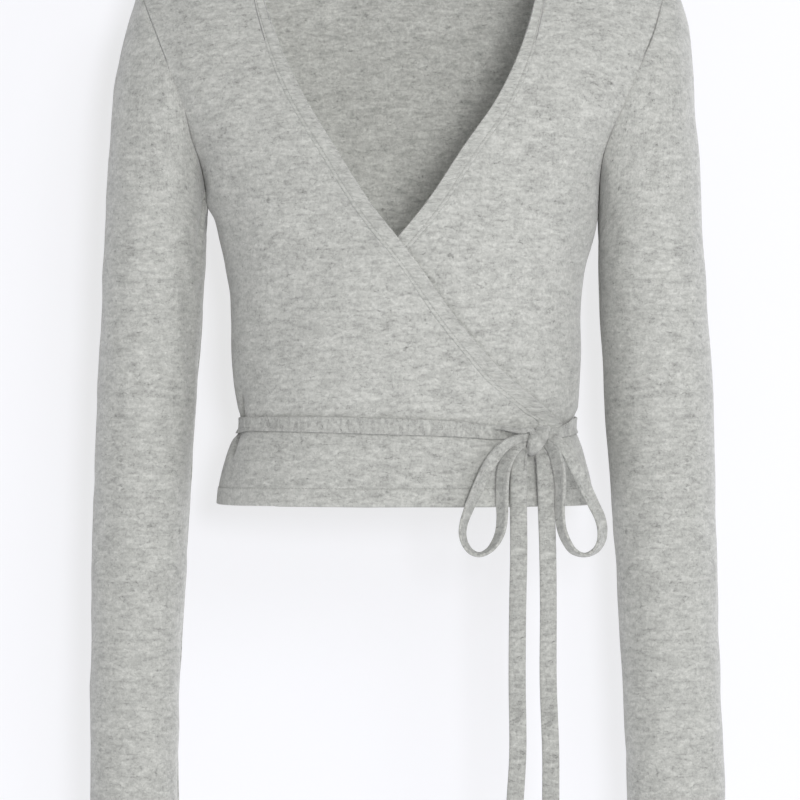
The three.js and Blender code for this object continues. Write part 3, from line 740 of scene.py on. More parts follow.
def shell(name, grid, flat, thickness, material, flip=False, tuck=EDGE_REACH):
    """A panel of cloth with rounded edges, from the grid of its outer face.

    tuck is how far each edge of the cloth reaches over the grid's own.
    """
    tuck = np.broadcast_to(tuck, grid.shape[:2])
    if flip:
        grid, flat, tuck = grid[:, ::-1], flat[:, ::-1], tuck[:, ::-1]
    rows, columns = grid.shape[:2]
    normal = grid_normal(grid)
    away = np.zeros_like(grid)
    away[0] += unit(grid[0] - grid[1])
    away[-1] += unit(grid[-1] - grid[-2])
    away[:, 0] += unit(grid[:, 0] - grid[:, 1])
    away[:, -1] += unit(grid[:, -1] - grid[:, -2])
    away = unit(away - normal * np.sum(away * normal, -1, keepdims=True))
    edge = np.zeros((rows, columns, 1))
    edge[0], edge[-1], edge[:, 0], edge[:, -1] = 1, 1, 1, 1
    half = thickness / 2
    outer = grid - away * edge * (half - tuck[..., None])
    inner = outer - normal * thickness
    middle = outer - normal * half
    ring = [(0, c) for c in range(columns - 1)]
    ring += [(r, columns - 1) for r in range(rows - 1)]
    ring += [(rows - 1, c) for c in range(columns - 1, 0, -1)]
    ring += [(r, 0) for r in range(rows - 1, 0, -1)]
    ring = np.array(ring)
    at = (ring[:, 0], ring[:, 1])
    count = len(ring)
    rims = []
    for step in range(1, RIM_STEPS):
        turn = HALF * step / RIM_STEPS
        rims.append(middle[at] + half * (normal[at] * math.cos(turn) + away[at] * math.sin(turn)))
    size = rows * columns
    points = np.concatenate([outer.reshape(-1, 3), inner.reshape(-1, 3), *rims])
    flat_points = flat.reshape(-1, 2)
    uv = np.concatenate([flat_points, flat_points, *[flat[at]] * len(rims)])
    index = np.arange(size).reshape(rows, columns)
    a, b, c, d = index[:-1, :-1], index[:-1, 1:], index[1:, 1:], index[1:, :-1]
    faces = [np.stack([a, b, c, d], -1).reshape(-1, 4), np.stack([d, c, b, a], -1).reshape(-1, 4) + size]
    border = ring[:, 0] * columns + ring[:, 1]
    lines = [border] + [2 * size + k * count + np.arange(count) for k in range(len(rims))] + [border + size]
    for first, second in zip(lines, lines[1:]):
        faces.append(np.stack([first, second, np.roll(second, -1), np.roll(first, -1)], -1))
    faces = np.concatenate(faces)
    reverse = np.zeros(len(points), np.float32)
    reverse[size : 2 * size] = 1
    return make_mesh(name, points, faces.tolist(), faces, uv, [material], reverse=reverse)


def spaced(*stops):
    """Levels from stop to stop, each stop a value and the step up to it."""
    levels = [float(stops[0])]
    for value, step in stops[1:]:
        count = max(1, round(abs(value - levels[-1]) / step))
        levels += list(np.linspace(levels[-1], value, count + 1)[1:])
    return np.array(levels)


def low_levels(armpit):
    """Levels of a panel's rows from the hem to the armpit."""
    return spaced(
        HEM_Z,
        (HEM_Z + HEM_TURN - BESIDE_TURN, HEM_ROW),
        (HEM_Z + HEM_TURN + BESIDE_TURN, FINE_ROW),
        (BAND_END_Z - BAND_END_ROW, LOWER_ROW),
        (BAND_END_Z, BAND_END_ROW),
        (armpit, BODY_ROW),
    )


SEWN_LINES = {}


def keep_turn_line(name, grid, levels, level):
    """The row of a panel's outer face where its turned edge is sewn down."""
    SEWN_LINES[name] = grid[int(np.argmin(np.abs(levels - level))), 1:-1]


def front_levels(side):
    low = low_levels(ARMPIT_Z[side])
    high = arm_level(side, np.arange(1, ARM_ROWS + 1) / ARM_ROWS)
    share = (high - ARMPIT_Z[side]) / (SHOULDER_Z - ARMPIT_Z[side])
    return np.concatenate([low, high]), np.concatenate([low, lerp(ARMPIT_Z[side], 0, share)])


def seam_tuck(z):
    """An armhole seam lies open at the shoulder, and its cloth closes over it lower down."""
    return lerp(SEAM_REACH_LOW, SEAM_REACH_HIGH, smooth(SEAM_LOW_Z, SEAM_HIGH_Z, z))


def front_panel(front, name, material, seed):
    side, sign = front["side"], front["sign"]
    side_z, edge_z = front_levels(side)
    banded = edge_z > BAND_END_Z - BAND_END_ROW / 2
    inner_x, inner_z = inner_line(front, edge_z, BAND_GAP)
    end_x = np.where(banded, inner_x, front["x"](edge_z))
    end_z = np.where(banded, inner_z, edge_z)
    seam = HALF if sign > 0 else 0
    start = seam - sign * (armhole_angle(side, side_z, False) + HALF_GAP)
    end = front_angle(end_x, end_z)
    end[-1] = start[-1]
    share = np.linspace(0, 1, FRONT_COLUMNS + 1)[None, :]
    share = lerp(share**2, share, FRONT_CROWDING)
    angle = lerp(start[:, None], end[:, None], share)
    z = lerp(side_z[:, None], end_z[:, None], share)
    if sign < 0:
        angle, z = angle[:, ::-1], z[:, ::-1]
    base = body_point(angle, z)
    lift = over_lift(angle, z) if sign > 0 else np.zeros_like(z)
    flat = body_flat(angle, z, HALF / 2)
    from_edge = np.abs(angle - angle_at(front["x"](z), z)) * MEAN_RADIUS
    from_seam = np.abs(angle - start[:, None]) * MEAN_RADIUS
    below_arm = QUIET_SEAM[1] * (z < ARMPIT_Z[side])
    quiet = smooth(*QUIET_EDGE, from_edge) * smooth(*QUIET_SEAM, from_seam + below_arm)
    detail = folds(FRONT_FOLDS, base[..., 0], z) + ripple(flat[..., 0], flat[..., 1], seed)
    lift = lift + detail * quiet + turned_edge(z - HEM_Z, HEM_TURN)
    grid = base + body_normal(angle, z) * lift[..., None]
    grid[..., 1] += arm_sink(side, side_z)[:, None] * np.exp(-((from_seam / SINK_REACH) ** 2))
    tuck = np.full(z.shape, EDGE_REACH)
    tuck[:, 0 if sign > 0 else -1] = seam_tuck(side_z)
    keep_turn_line(name, grid, z[:, FRONT_COLUMNS // 2], HEM_Z + HEM_TURN)
    return shell(name, grid, flat, WALL, material, tuck=tuck)


# Shares of a band's width where it has columns, from its seam to its edge, and what stands out of it.
BAND_SHARES = np.array([0, 5, 11, 15.5, 18.5, 21.5, 25, 32, 45, 60, 75, 85, 90, 95, 100]) / 100
BAND_STITCHES = 5
BAND_MIDDLE = len(BAND_SHARES) // 2
CROWN_HIGH = 0.25
SEWN_DEEP = 0.42
SEWN_SHARE = 0.2
SEWN_WIDTH = 0.035
BEAD_HIGH = 0.35
BEAD_SHARE = 0.96
BEAD_WIDTH = 0.06


def band_crown(share):
    """A doubled edge: full in the middle, sewn down near its seam, with a bead along its fold."""
    sewn = SEWN_DEEP * np.exp(-(((share - SEWN_SHARE) / SEWN_WIDTH) ** 2))
    bead = BEAD_HIGH * np.exp(-(((share - BEAD_SHARE) / BEAD_WIDTH) ** 2))
    return CROWN_HIGH * np.sin(HALF * share) - sewn + bead


BAND_FLAT_SHARE = 0.75
RIB_FULL_SHARE = 0.34
RIB_FADE_SHARE = 0.9
RIB_PITCH = 2.2
RIB_LOW = 0.34
RIB_HIGH = 0.14
RIB_LOW_Z = -335
RIB_HIGH_Z = -300


def front_band(front, name, material):
    sign = front["sign"]
    edge_z = np.linspace(BAND_END_Z, 0, BAND_ROWS)
    inner_x, inner_z = inner_line(front, edge_z, 0)
    share = BAND_SHARES[None, :]
    x = lerp(inner_x[:, None], front["x"](edge_z)[:, None], share)
    z = lerp(inner_z[:, None], edge_z[:, None], share)
    angle = front_angle(x, z)
    angle[-1] = HALF - HALF_GAP if sign > 0 else HALF_GAP
    width = front["across"](edge_z)[:, None] * BAND_FLAT_SHARE
    plain = body_point(angle, z)
    along = run_length(plain[:, BAND_MIDDLE])
    rib_high = lerp(RIB_LOW, RIB_HIGH, smooth(RIB_LOW_Z, RIB_HIGH_Z, z))
    ribs = rib_high * np.sin(along * FULL / RIB_PITCH)[:, None]
    ribs = ribs * smooth(SEWN_SHARE, RIB_FULL_SHARE, share) * (1 - smooth(RIB_FADE_SHARE, 1, share))
    lift = BAND_RAISE + band_crown(share) + ribs + (over_lift(angle, z) if sign > 0 else 0)
    grid = plain + body_normal(angle, z) * lift[..., None]
    flat = np.stack(np.broadcast_arrays(share * width, along[:, None]), -1)
    SEWN_LINES[name] = grid[4:-4, BAND_STITCHES]
    if sign < 0:
        grid, flat = grid[:, ::-1], flat[:, ::-1]
    return shell(name, grid, flat, WALL + BAND_RAISE, material)


def neck_z(angle, down):
    """Height of the back neck's edge, or of a line that lies some way down the cloth from it."""
    z = -NECK_DROP * (1 - np.abs(np.cos(angle)) ** NECK_CURVE)
    step = np.linalg.norm(body_point(angle, z - 2) - body_point(angle, z - 4), axis=-1) / 2
    return z - down / step


def neck_band_width(angle):
    return lerp(OVER_EDGE[0][2], NECK_BAND_WIDTH, np.sin(angle) ** 2)


def back_panel(name, material):
    start, end = HALF + HALF_GAP, FULL - HALF_GAP
    share = np.linspace(0, 1, BACK_COLUMNS + 1)
    from_side = np.minimum(share, 1 - share) / SHOULDER_SHARE
    neck_angle = lerp(start, end, np.clip((share - SHOULDER_SHARE) / (1 - 2 * SHOULDER_SHARE), 0, 1))
    neck_end = neck_z(neck_angle, neck_band_width(neck_angle) + BAND_GAP)
    top_z = np.where(from_side < 1, lerp(SHOULDER_Z, neck_end, np.clip(from_side, 0, 1)), neck_end)
    low = [low_levels(ARMPIT_Z[side]) for side in ("right", "left")]
    count = min(len(level) for level in low)
    low = [np.interp(np.linspace(0, 1, count), np.linspace(0, 1, len(level)), level) for level in low]
    low_z = lerp(low[0][:, None], low[1][:, None], share[None, :])
    low_angle = np.broadcast_to(lerp(start, end, share)[None, :], low_z.shape)
    rows = np.arange(1, ARM_ROWS + 1) / ARM_ROWS
    right_z, left_z = arm_level("right", rows), arm_level("left", rows)
    up = ((right_z - ARMPIT_Z["right"]) / (SHOULDER_Z - ARMPIT_Z["right"]))[:, None]
    right_in = armhole_angle("right", right_z, True)[:, None]
    left_in = armhole_angle("left", left_z, True)[:, None]
    plain = lerp(lerp(start, end, share)[None, :], neck_angle[None, :], up)
    high_angle = plain + (1 - share) * right_in - share * left_in
    floor = lerp(ARMPIT_Z["right"], ARMPIT_Z["left"], share)
    high_z = lerp(floor[None, :], top_z[None, :], up)
    angle = np.concatenate([low_angle, high_angle])[:, ::-1]
    z = np.concatenate([low_z, high_z])[:, ::-1]
    base = body_point(angle, z)
    flat = body_flat(angle, z, 1.5 * HALF)
    quiet = smooth(*QUIET_SHOULDER, z)
    detail = folds(BACK_FOLDS, base[..., 0], z) + ripple(flat[..., 0], flat[..., 1], 31)
    lift = detail * quiet + turned_edge(z - HEM_Z, HEM_TURN)
    grid = base + body_normal(angle, z) * lift[..., None]
    keep_turn_line(name, grid, z[:, BACK_COLUMNS // 2], HEM_Z + HEM_TURN)
    return shell(name, grid, flat, WALL, material)


def neck_band(name, material):
    angle = np.linspace(FULL - HALF_GAP, HALF + HALF_GAP, NECK_COLUMNS + 1)[None, :]
    share = BAND_SHARES[:, None]
    z = neck_z(angle, (1 - share) * neck_band_width(angle))
    angle = np.broadcast_to(angle, z.shape)
    lift = BAND_RAISE + np.broadcast_to(band_crown(share), z.shape)
    grid = body_point(angle, z) + body_normal(angle, z) * lift[..., None]
    SEWN_LINES[name] = grid[BAND_STITCHES, 1:-1]
    along = run_length(grid[BAND_MIDDLE])
    flat = np.stack(np.broadcast_arrays(share * NECK_BAND_WIDTH, along[None, :]), -1)
    return shell(name, grid, flat, WALL + BAND_RAISE, material)


# How the cap of a sleeve leaves its seam: gap at the armpit in seam gaps, slope there, turn to the front.
PIT_GAP = 2.5
PIT_GAP_SHARE = 0.3
PIT_LEAN = 0.04
CAP_TURN = -0.16
CAP_PUSH_START = 0.05
CAP_PUSH_END = 0.92
SLEEVE_RADIUS = 40
SLEEVE_RIPPLE = 1.3


def sleeve_panel(side, name, material, seed):
    middle = SLEEVE_COLUMNS // 2
    sign = -1 if side == "right" else 1
    seam = HALF if side == "right" else 0
    centre_x, half_x, centre_y, half_y = [curve_through(SLEEVE[side], k) for k in range(1, 5)]
    turn = np.linspace(HALF + SLEEVE_SLIT, 3 * HALF - SLEEVE_SLIT, SLEEVE_COLUMNS + 1)
    behind = turn < FULL
    away_from_pit = np.abs(turn - FULL) / HALF
    z0 = arm_level(side, 1 - away_from_pit)
    inward = np.where(behind, armhole_angle(side, z0, True), armhole_angle(side, z0, False))
    angle0 = seam + np.where(behind, -1, 1) * sign * inward
    on_seam = body_point(angle0, z0)
    upper = ((1 + np.cos(turn)) / 2)[:, None]
    one = np.ones_like(upper)
    out = unit(np.concatenate([sign * one, 0 * one, -CAP_LEAN * upper], 1))
    on_seam[:, 1] += np.where(behind, 0, arm_sink(side, z0))
    start = on_seam + out * lerp(PIT_GAP, 1, smooth(0, PIT_GAP_SHARE, upper)) * SEAM_GAP
    lean = sign * lerp(PIT_LEAN, CAP_LEAN, upper)
    leave = unit(np.concatenate([lean, CAP_TURN * np.sin(turn)[:, None], -one], 1))

    def level_point(turn, z):
        c, s = np.cos(turn), np.sin(turn)
        total = np.abs(c / half_x(z)) ** SLEEVE_POWER + np.abs(s / half_y(z)) ** SLEEVE_POWER
        r = total ** (-1 / SLEEVE_POWER)
        return np.stack(np.broadcast_arrays(sign * (centre_x(z) + r * c), centre_y(z) - r * s, z), -1)

    top_z = SLEEVE[side][0][0]
    to = level_point(turn, np.full_like(turn, top_z))
    reach = np.linalg.norm(to - start, axis=-1, keepdims=True)
    below = (level_point(turn, np.full_like(turn, top_z - 1)) - to) * reach
    t = (np.arange(CAP_ROWS) / CAP_ROWS)[:, None, None]
    ease = t * t * (3 - 2 * t)
    cap = start * (1 - ease) + leave * reach * t * (1 - t) ** 2 + to * ease + below * t * t * (t - 1)
    line = curve_through(CAP_LINE[side], 1)
    outer = cap[:, middle]
    t = t[:, 0, 0]
    push = (line(outer[:, 2]) - sign * outer[:, 0]) * smooth(0, CAP_PUSH_START, t)
    push = push[:, None] * upper[None, :, 0] ** 2 * (1 - smooth(CAP_PUSH_END, 1, t))[:, None]
    cap[..., 0] += sign * push
    levels = spaced(
        top_z,
        (CUFF_Z + CUFF_TURN + BESIDE_TURN, SLEEVE_ROW),
        (CUFF_Z + CUFF_TURN - BESIDE_TURN, FINE_ROW),
        (CUFF_Z, LOWER_ROW),
    )
    arm = level_point(turn[None, :], levels[:, None])
    base = np.concatenate([cap, arm])
    down, around = run_length(base), run_length(base, 1)
    around = around - around[:, middle : middle + 1]
    flat = np.stack([around, down[-1:] - down], -1)
    spread = np.broadcast_to((turn - FULL)[None, :] * SLEEVE_RADIUS, around.shape)
    detail = folds(SLEEVE_FOLDS[side], spread, base[..., 2]) + SLEEVE_RIPPLE * ripple(around, down, seed)
    lift = detail * smooth(*QUIET_CAP, down) + turned_edge(base[..., 2] - CUFF_Z, CUFF_TURN)
    grid = base + grid_normal(base) * sign * lift[..., None]
    tuck = np.full(around.shape, EDGE_REACH)
    tuck[0] = seam_tuck(z0)
    keep_turn_line(name, grid, base[:, middle, 2], CUFF_Z + CUFF_TURN)
    return shell(name, grid, flat, WALL, material, flip=sign < 0, tuck=tuck)


# Tie
def section(count):
    """A flattened tube of knit, at even steps round it: how far across, how far out."""
    turn = np.linspace(0, FULL, SECTION_SAMPLES + 1)
    c, s = np.cos(turn), np.sin(turn)
    across = np.sign(c) * np.abs(c) ** SECTION_ACROSS_POWER
    out = -np.sign(s) * np.abs(s) ** SECTION_OUT_POWER
    steps = np.hypot(np.diff(across) * TIE_WIDTH, np.diff(out) * TIE_THICK)
    length = np.concatenate([[0], np.cumsum(steps)])
    want = np.arange(count) / count * length[-1]
    return np.interp(want, length, across), np.interp(want, length, out)


# The rings that round off an end: share of the size of the end's own ring, and distance beyond it.
TIP_RINGS = ((0.45, 0.9), (0.8, 0.6))


def tube(name, rings, length, material, flip=False):
    """A closed strip from its rings of points, with its two ends rounded off."""
    steps, count = rings.shape[:2]
    spread = np.arange(count + 1) / count * TIE_ROUND
    flat = np.stack(np.broadcast_arrays(spread[None, :], length[:, None]), -1)
    if flip:
        rings, flat = rings[:, ::-1], flat[:, ::-1]
    start_middle, end_middle = rings[0].mean(0), rings[-1].mean(0)
    start_out = unit(start_middle - rings[1].mean(0))
    end_out = unit(end_middle - rings[-2].mean(0))
    first = [lerp(start_middle, rings[0], share) + start_out * out for share, out in TIP_RINGS]
    last = [lerp(end_middle, rings[-1], share) + end_out * out for share, out in TIP_RINGS[::-1]]
    rings = np.concatenate([np.array(first), rings, np.array(last)])
    flat = np.concatenate([flat[:1], flat[:1], flat, flat[-1:], flat[-1:]])
    steps += 4
    index = np.arange(steps * count).reshape(steps, count)
    corner = np.arange(steps * (count + 1)).reshape(steps, count + 1)
    a, b = index[:-1], index[1:]
    faces = np.stack([a, np.roll(a, -1, 1), np.roll(b, -1, 1), b], -1).reshape(-1, 4)
    corners = np.stack([corner[:-1, :-1], corner[:-1, 1:], corner[1:, 1:], corner[1:, :-1]], -1)
    points = np.concatenate([rings.reshape(-1, 3), [start_middle + start_out, end_middle + end_out]])
    uv = np.concatenate([flat.reshape(-1, 2), flat[0, :1], flat[-1, :1]])
    first_tip, last_tip = steps * count, steps * count + 1
    tip_faces, tip_corners = [], []
    for k in range(count):
        after = (k + 1) % count
        tip_faces += [[first_tip, after, k], [last_tip, index[-1, k], index[-1, after]]]
        tip_corners += [
            [steps * (count + 1), k + 1, k],
            [steps * (count + 1) + 1, corner[-1, k], corner[-1, k + 1]],
        ]
    corners = np.concatenate([corners.ravel(), np.array(tip_corners).ravel()])
    return make_mesh(name, points, faces.tolist() + tip_faces, corners, uv, [material])


def through(points, count):
    """Even points on a smooth line through some, with what goes with each."""
    points = np.asarray(points, float)
    gaps = np.linalg.norm(np.diff(points[:, :3], axis=0), axis=-1) ** 0.5
    knots = np.concatenate([[0], np.cumsum(gaps)])
    slope = np.zeros_like(points)
    step = np.diff(knots)[:, None]
    rise = np.diff(points, axis=0) / step
    slope[1:-1] = (rise[:-1] * step[1:] + rise[1:] * step[:-1]) / (step[1:] + step[:-1])
    slope[0] = 1.5 * rise[0] - 0.5 * slope[1]
    slope[-1] = 1.5 * rise[-1] - 0.5 * slope[-2]

    def at(u):
        i = np.clip(np.searchsorted(knots, u, side="right") - 1, 0, len(gaps) - 1)
        h = step[i]
        t = ((u - knots[i])[:, None]) / h
        ease = t * t * (3 - 2 * t)
        bend = slope[i] * (1 - t) ** 2 * t - slope[i + 1] * (1 - t) * t**2
        return lerp(points[i], points[i + 1], ease) + h * bend

    fine = at(np.linspace(0, knots[-1], 40 * len(points)))
    length = run_length(fine[:, :3])
    want = np.linspace(0, length[-1], count)
    even = np.stack([np.interp(want, length, fine[:, k]) for k in range(fine.shape[1])], -1)
    return even, want


def rings_along(centre, side, face, u, width, high):
    """Rings of points along a route, from how far their points lie to its sides and how high."""
    wide = u[None, :] * width[:, None] / 2
    return centre[:, None] + side[:, None] * wide[..., None] + face[:, None] * high[..., None]


MOST_PLUMP = 2.2
RIDGE_REVERSE = 0.3
RIDGE_START = 6
RIDGE_END = 10


def strip(name, route, material, steps, ridges=()):
    """A flat strip along a route, plumper where it is drawn in, with lengthwise ridges."""
    path, length = through(route, steps)
    centre, width, turn = path[:, :3], path[:, 3], np.radians(path[:, 4])
    along = unit(np.gradient(centre, axis=0))
    across = unit(np.cross(np.array([0, 1.0, 0]), along))
    side = across * np.cos(turn)[:, None] + np.cross(along, across) * np.sin(turn)[:, None]
    face = np.cross(side, along)
    u, v = section(SECTION_POINTS)
    bulk = TIE_THICK / 2 * np.sqrt(np.clip(TIE_WIDTH / width, 1, MOST_PLUMP))
    high = v[None, :] * bulk[:, None]
    for place, half_width, rise, start, end in ridges:
        near = smooth(start - RIDGE_START, start, length) * (1 - smooth(end - RIDGE_END, end, length))
        shape = np.exp(-(((u - place) / half_width) ** 2)) * np.where(v > 0, 1, RIDGE_REVERSE)
        high = high + rise * near[:, None] * shape[None, :]
    rings = rings_along(centre, side, face, u, width, high)
    return tube(name, rings, length, material, flip=True)


BELT_BUNCH = 1.2
BELT_BUNCH_REACH = (4, 16)
BELT_FOLD = (0.62, 0.3, 1.6)
BELT_FOLD_REACH = (50, 64)
BELT_BEAD = (0.84, 0.16, 0.4)
BELT_LEAN = 0.35
BELT_LEAN_REACH = (2, 12)
BELT_REST = 0.12
BELT_WAVES = ((0.12, 9, 1), (0.1, 23, 0))


def waist_tie(name, material):
    """The tie round the waist, pulled flat on the fronts and the back.

    Its fold and its bead have a place and half width across and a height. What has a reach fades over
    those degrees, the fold's counted round the body and the others' from the knot.
    """
    middle, breadth = curve_through(WAIST_TIE, 1), curve_through(WAIST_TIE, 2)
    first, last = WAIST_TIE[0][0], WAIST_TIE[-1][0]
    degrees = np.linspace(first + 1, last - 1, BELT_STEPS)
    from_knot = np.minimum(degrees - first, last - degrees)
    width = breadth(degrees)
    u, v = section(SECTION_POINTS)
    angle = np.radians(degrees)[:, None]
    z = middle(degrees)[:, None] + u[None, :] * width[:, None] / 2
    angle = np.broadcast_to(angle, z.shape)
    rest = tie_lift(angle, z) + BAND_RAISE + TIE_CLEAR
    bunch = 1 + BELT_BUNCH * (1 - smooth(*BELT_BUNCH_REACH, from_knot))[:, None]

    def bump(place, half_width, high):
        return high * np.exp(-(((u - place) / half_width) ** 2)) * (v > 0)

    fold = bump(*BELT_FOLD)[None, :] * (1 - smooth(*BELT_FOLD_REACH, degrees))[:, None]
    wave = sum(high * np.sin(np.radians(degrees) * pace + shift) for high, pace, shift in BELT_WAVES)
    lean = BELT_LEAN * (1 - u) * (np.sin(angle) ** 2 * smooth(*BELT_LEAN_REACH, from_knot)[:, None])
    lift = rest + BELT_THICK / 2 * (1 + v[None, :] * bunch) + fold
    lift = lift + BELT_REST + wave[:, None] + bump(*BELT_BEAD)[None, :] + lean
    grid = body_point(angle, z) + body_normal(angle, z) * lift[..., None]
    return tube(name, grid, run_length(grid[:, 0]), material, flip=True)


KNOT_THICK = 5.6
KNOT_ACROSS = (1.0, 0, 0.18)
CURL_THICK = 3.4
STRAND_START = (0.45, 9)


def wrapped_strand(name, route, material, thick, across=None):
    """A plump strand of the knot, its width in a given direction or else from side to side of its route."""
    path, length = through(route, WRAP_STEPS)
    centre, width = path[:, :3], path[:, 3]
    along = unit(np.gradient(centre, axis=0))
    side = np.cross(along, np.array([0, -1.0, 0])) if across is None else np.array(across)
    side = unit(side - along * np.sum(side * along, -1, keepdims=True))
    face = np.cross(side, along)
    u, v = section(WRAP_POINTS)
    share, distance = STRAND_START
    reach = np.minimum(1, share + length / distance)[:, None]
    rings = rings_along(centre, side, face, u, width, v[None, :] * thick / 2 * reach)
    return tube(name, rings, length, material)


def joined(first, *others):
    """One piece from several meshes."""
    with bpy.context.temp_override(active_object=first, selected_editable_objects=[first, *others]):
        bpy.ops.object.join()
    return first


# Node trees
def add_node(tree, kind, inputs=(), **settings):
    """A node with its settings and inputs.

    An input is a number, a vector, a colour, a socket, or another node for its first socket.
    """
    node = tree.nodes.new(kind)
    for label, value in settings.items():
        setattr(node, label, value)
    for label, value in dict(inputs).items():
        if isinstance(value, bpy.types.Node):
            value = value.outputs[0]
        if isinstance(value, bpy.types.NodeSocket):
            tree.links.new(value, node.inputs[label])
        else:
            node.inputs[label].default_value = value
    return node


def calculator(tree):
    """What adds sums to a tree, of numbers and of what other nodes give."""

    def calc(operation, *values, clamp=False):
        return add_node(tree, "ShaderNodeMath", enumerate(values), operation=operation, use_clamp=clamp)

    return calc


def scaled(tree, vector, size):
    return add_node(tree, "ShaderNodeVectorMath", {0: vector, "Scale": size}, operation="SCALE")


# Stitches
STITCH = {"Pitch": 2.6, "Stitch length": 2.0, "Thread": 0.32}


def stitch_tree(material):
    """Short threads end to end along each line of a mesh of edges."""
    tree = bpy.data.node_groups.new("sewn_row", "GeometryNodeTree")
    face = tree.interface
    face.new_socket(name="Line", in_out="INPUT", socket_type="NodeSocketGeometry")
    for label, value in STITCH.items():
        socket = face.new_socket(name=label, in_out="INPUT", socket_type="NodeSocketFloat")
        socket.default_value = value * MM
    face.new_socket(name="Stitches", in_out="OUTPUT", socket_type="NodeSocketGeometry")
    given = tree.nodes.new("NodeGroupInput").outputs
    curve = add_node(tree, "GeometryNodeMeshToCurve", {"Mesh": given["Line"]})
    steps = {"Curve": curve, "Length": given["Pitch"]}
    even = add_node(tree, "GeometryNodeResampleCurve", steps, mode="LENGTH")
    tangent = add_node(tree, "GeometryNodeInputTangent")
    turn = add_node(tree, "FunctionNodeAlignRotationToVector", {"Vector": tangent}, axis="Z")
    thread = add_node(tree, "GeometryNodeMeshUVSphere", {"Segments": 6, "Rings": 5, "Radius": 1})
    half = calculator(tree)("MULTIPLY", given["Stitch length"], 0.5)
    size = add_node(tree, "ShaderNodeCombineXYZ", {0: given["Thread"], 1: given["Thread"], 2: half})
    parts = {"Points": even, "Instance": thread, "Rotation": turn, "Scale": size}
    threads = add_node(tree, "GeometryNodeInstanceOnPoints", parts)
    real = add_node(tree, "GeometryNodeRealizeInstances", {0: threads})
    paint = add_node(tree, "GeometryNodeSetMaterial", {"Geometry": real, "Material": material})
    add_node(tree, "NodeGroupOutput", {"Stitches": paint})
    return tree


def sewn_row(name, line, tree):
    mesh = bpy.data.meshes.new(name + "_line")
    mesh.from_pydata((line * MM).tolist(), [(k, k + 1) for k in range(len(line) - 1)], [])
    carrier = placed(name + "_line", mesh)
    modifier = carrier.modifiers.new("stitches", "NODES")
    modifier.node_group = tree
    for item in tree.interface.items_tree:
        if item.name in STITCH:
            modifier[item.identifier] = STITCH[item.name] * MM
    view = bpy.context.evaluated_depsgraph_get()
    made = bpy.data.meshes.new_from_object(carrier.evaluated_get(view))
    carrier.modifiers.remove(modifier)
    bpy.data.objects.remove(carrier)
    made.polygons.foreach_set("use_smooth", [True] * len(made.polygons))
    return placed(name, made)


# Materials
def new_group(name, inputs, outputs):
    group = bpy.data.node_groups.new(name, "ShaderNodeTree")
    for label, kind, value in inputs:
        socket = group.interface.new_socket(name=label, in_out="INPUT", socket_type=kind)
        if value is not None:
            socket.default_value = value
    for label, kind in outputs:
        group.interface.new_socket(name=label, in_out="OUTPUT", socket_type=kind)
    return group, group.nodes.new("NodeGroupInput").outputs


def noise(tree, vector, size, shift, detail, roughness, distortion):
    place = add_node(tree, "ShaderNodeMapping", {"Vector": vector, "Scale": size, "Location": shift})
    grain = {"Vector": place, "Scale": 1, "Detail": detail, "Roughness": roughness}
    grain["Distortion"] = distortion
    return add_node(tree, "ShaderNodeTexNoise", grain).outputs["Fac"]


# Layers of the yarn: cycles for each metre of cloth, shift, detail, roughness, distortion.
STREAK = ((120, 330, 1), (0, 0, 0), 2, 0.6, 0.7)
PATCH = ((48, 96, 1), (3, 7, 0), 2, 0.55, 0.8)
FUZZ = ((480, 400, 1), (11, 2, 0), 2, 0.65, 0.8)
DARK = ((230, 330, 1), (5, 19, 0), 1, 0.5, 1.4)
TWIST = ((1500, 1500, 1500), (0, 0, 0), 1, 0.55, 0)
STREAK_WEIGHT = 2.6
PATCH_WEIGHT = 1.5
FUZZ_WEIGHT = 2.6
DARK_FROM = 0.6
DARK_WEIGHT = -5.0

# Columns and rows of the knit, and how the two legs of each stitch slant, stand out and dip between.
WALE = 0.00135
COURSE = 0.00105
LEG_SLANT = -0.65
LEG_HIGH = 0.3
VALLEY_POWER = 4.0
CENTRE_POWER = 6.0
DIP_DEEP = 0.45


def heather_group():
    """Mixed light and dark fibres in short level streaks. Shade is around 0, Fuzz from 0 to 1."""
    group, given = new_group(
        "heathered_yarn",
        [("Vector", "NodeSocketVector", None), ("Grain", "NodeSocketFloat", 1.0)],
        [("Shade", "NodeSocketFloat"), ("Fuzz", "NodeSocketFloat")],
    )
    calc = calculator(group)
    vector = scaled(group, given["Vector"], given["Grain"])
    streak, patch, fuzz, dark = [noise(group, vector, *layer) for layer in (STREAK, PATCH, FUZZ, DARK)]
    total = calc("MULTIPLY", calc("SUBTRACT", dark, DARK_FROM, clamp=True), DARK_WEIGHT)
    for part, weight in ((streak, STREAK_WEIGHT), (patch, PATCH_WEIGHT), (fuzz, FUZZ_WEIGHT)):
        total = calc("MULTIPLY_ADD", calc("SUBTRACT", part, 0.5), weight, total)
    add_node(group, "NodeGroupOutput", {"Shade": total, "Fuzz": fuzz})
    return group


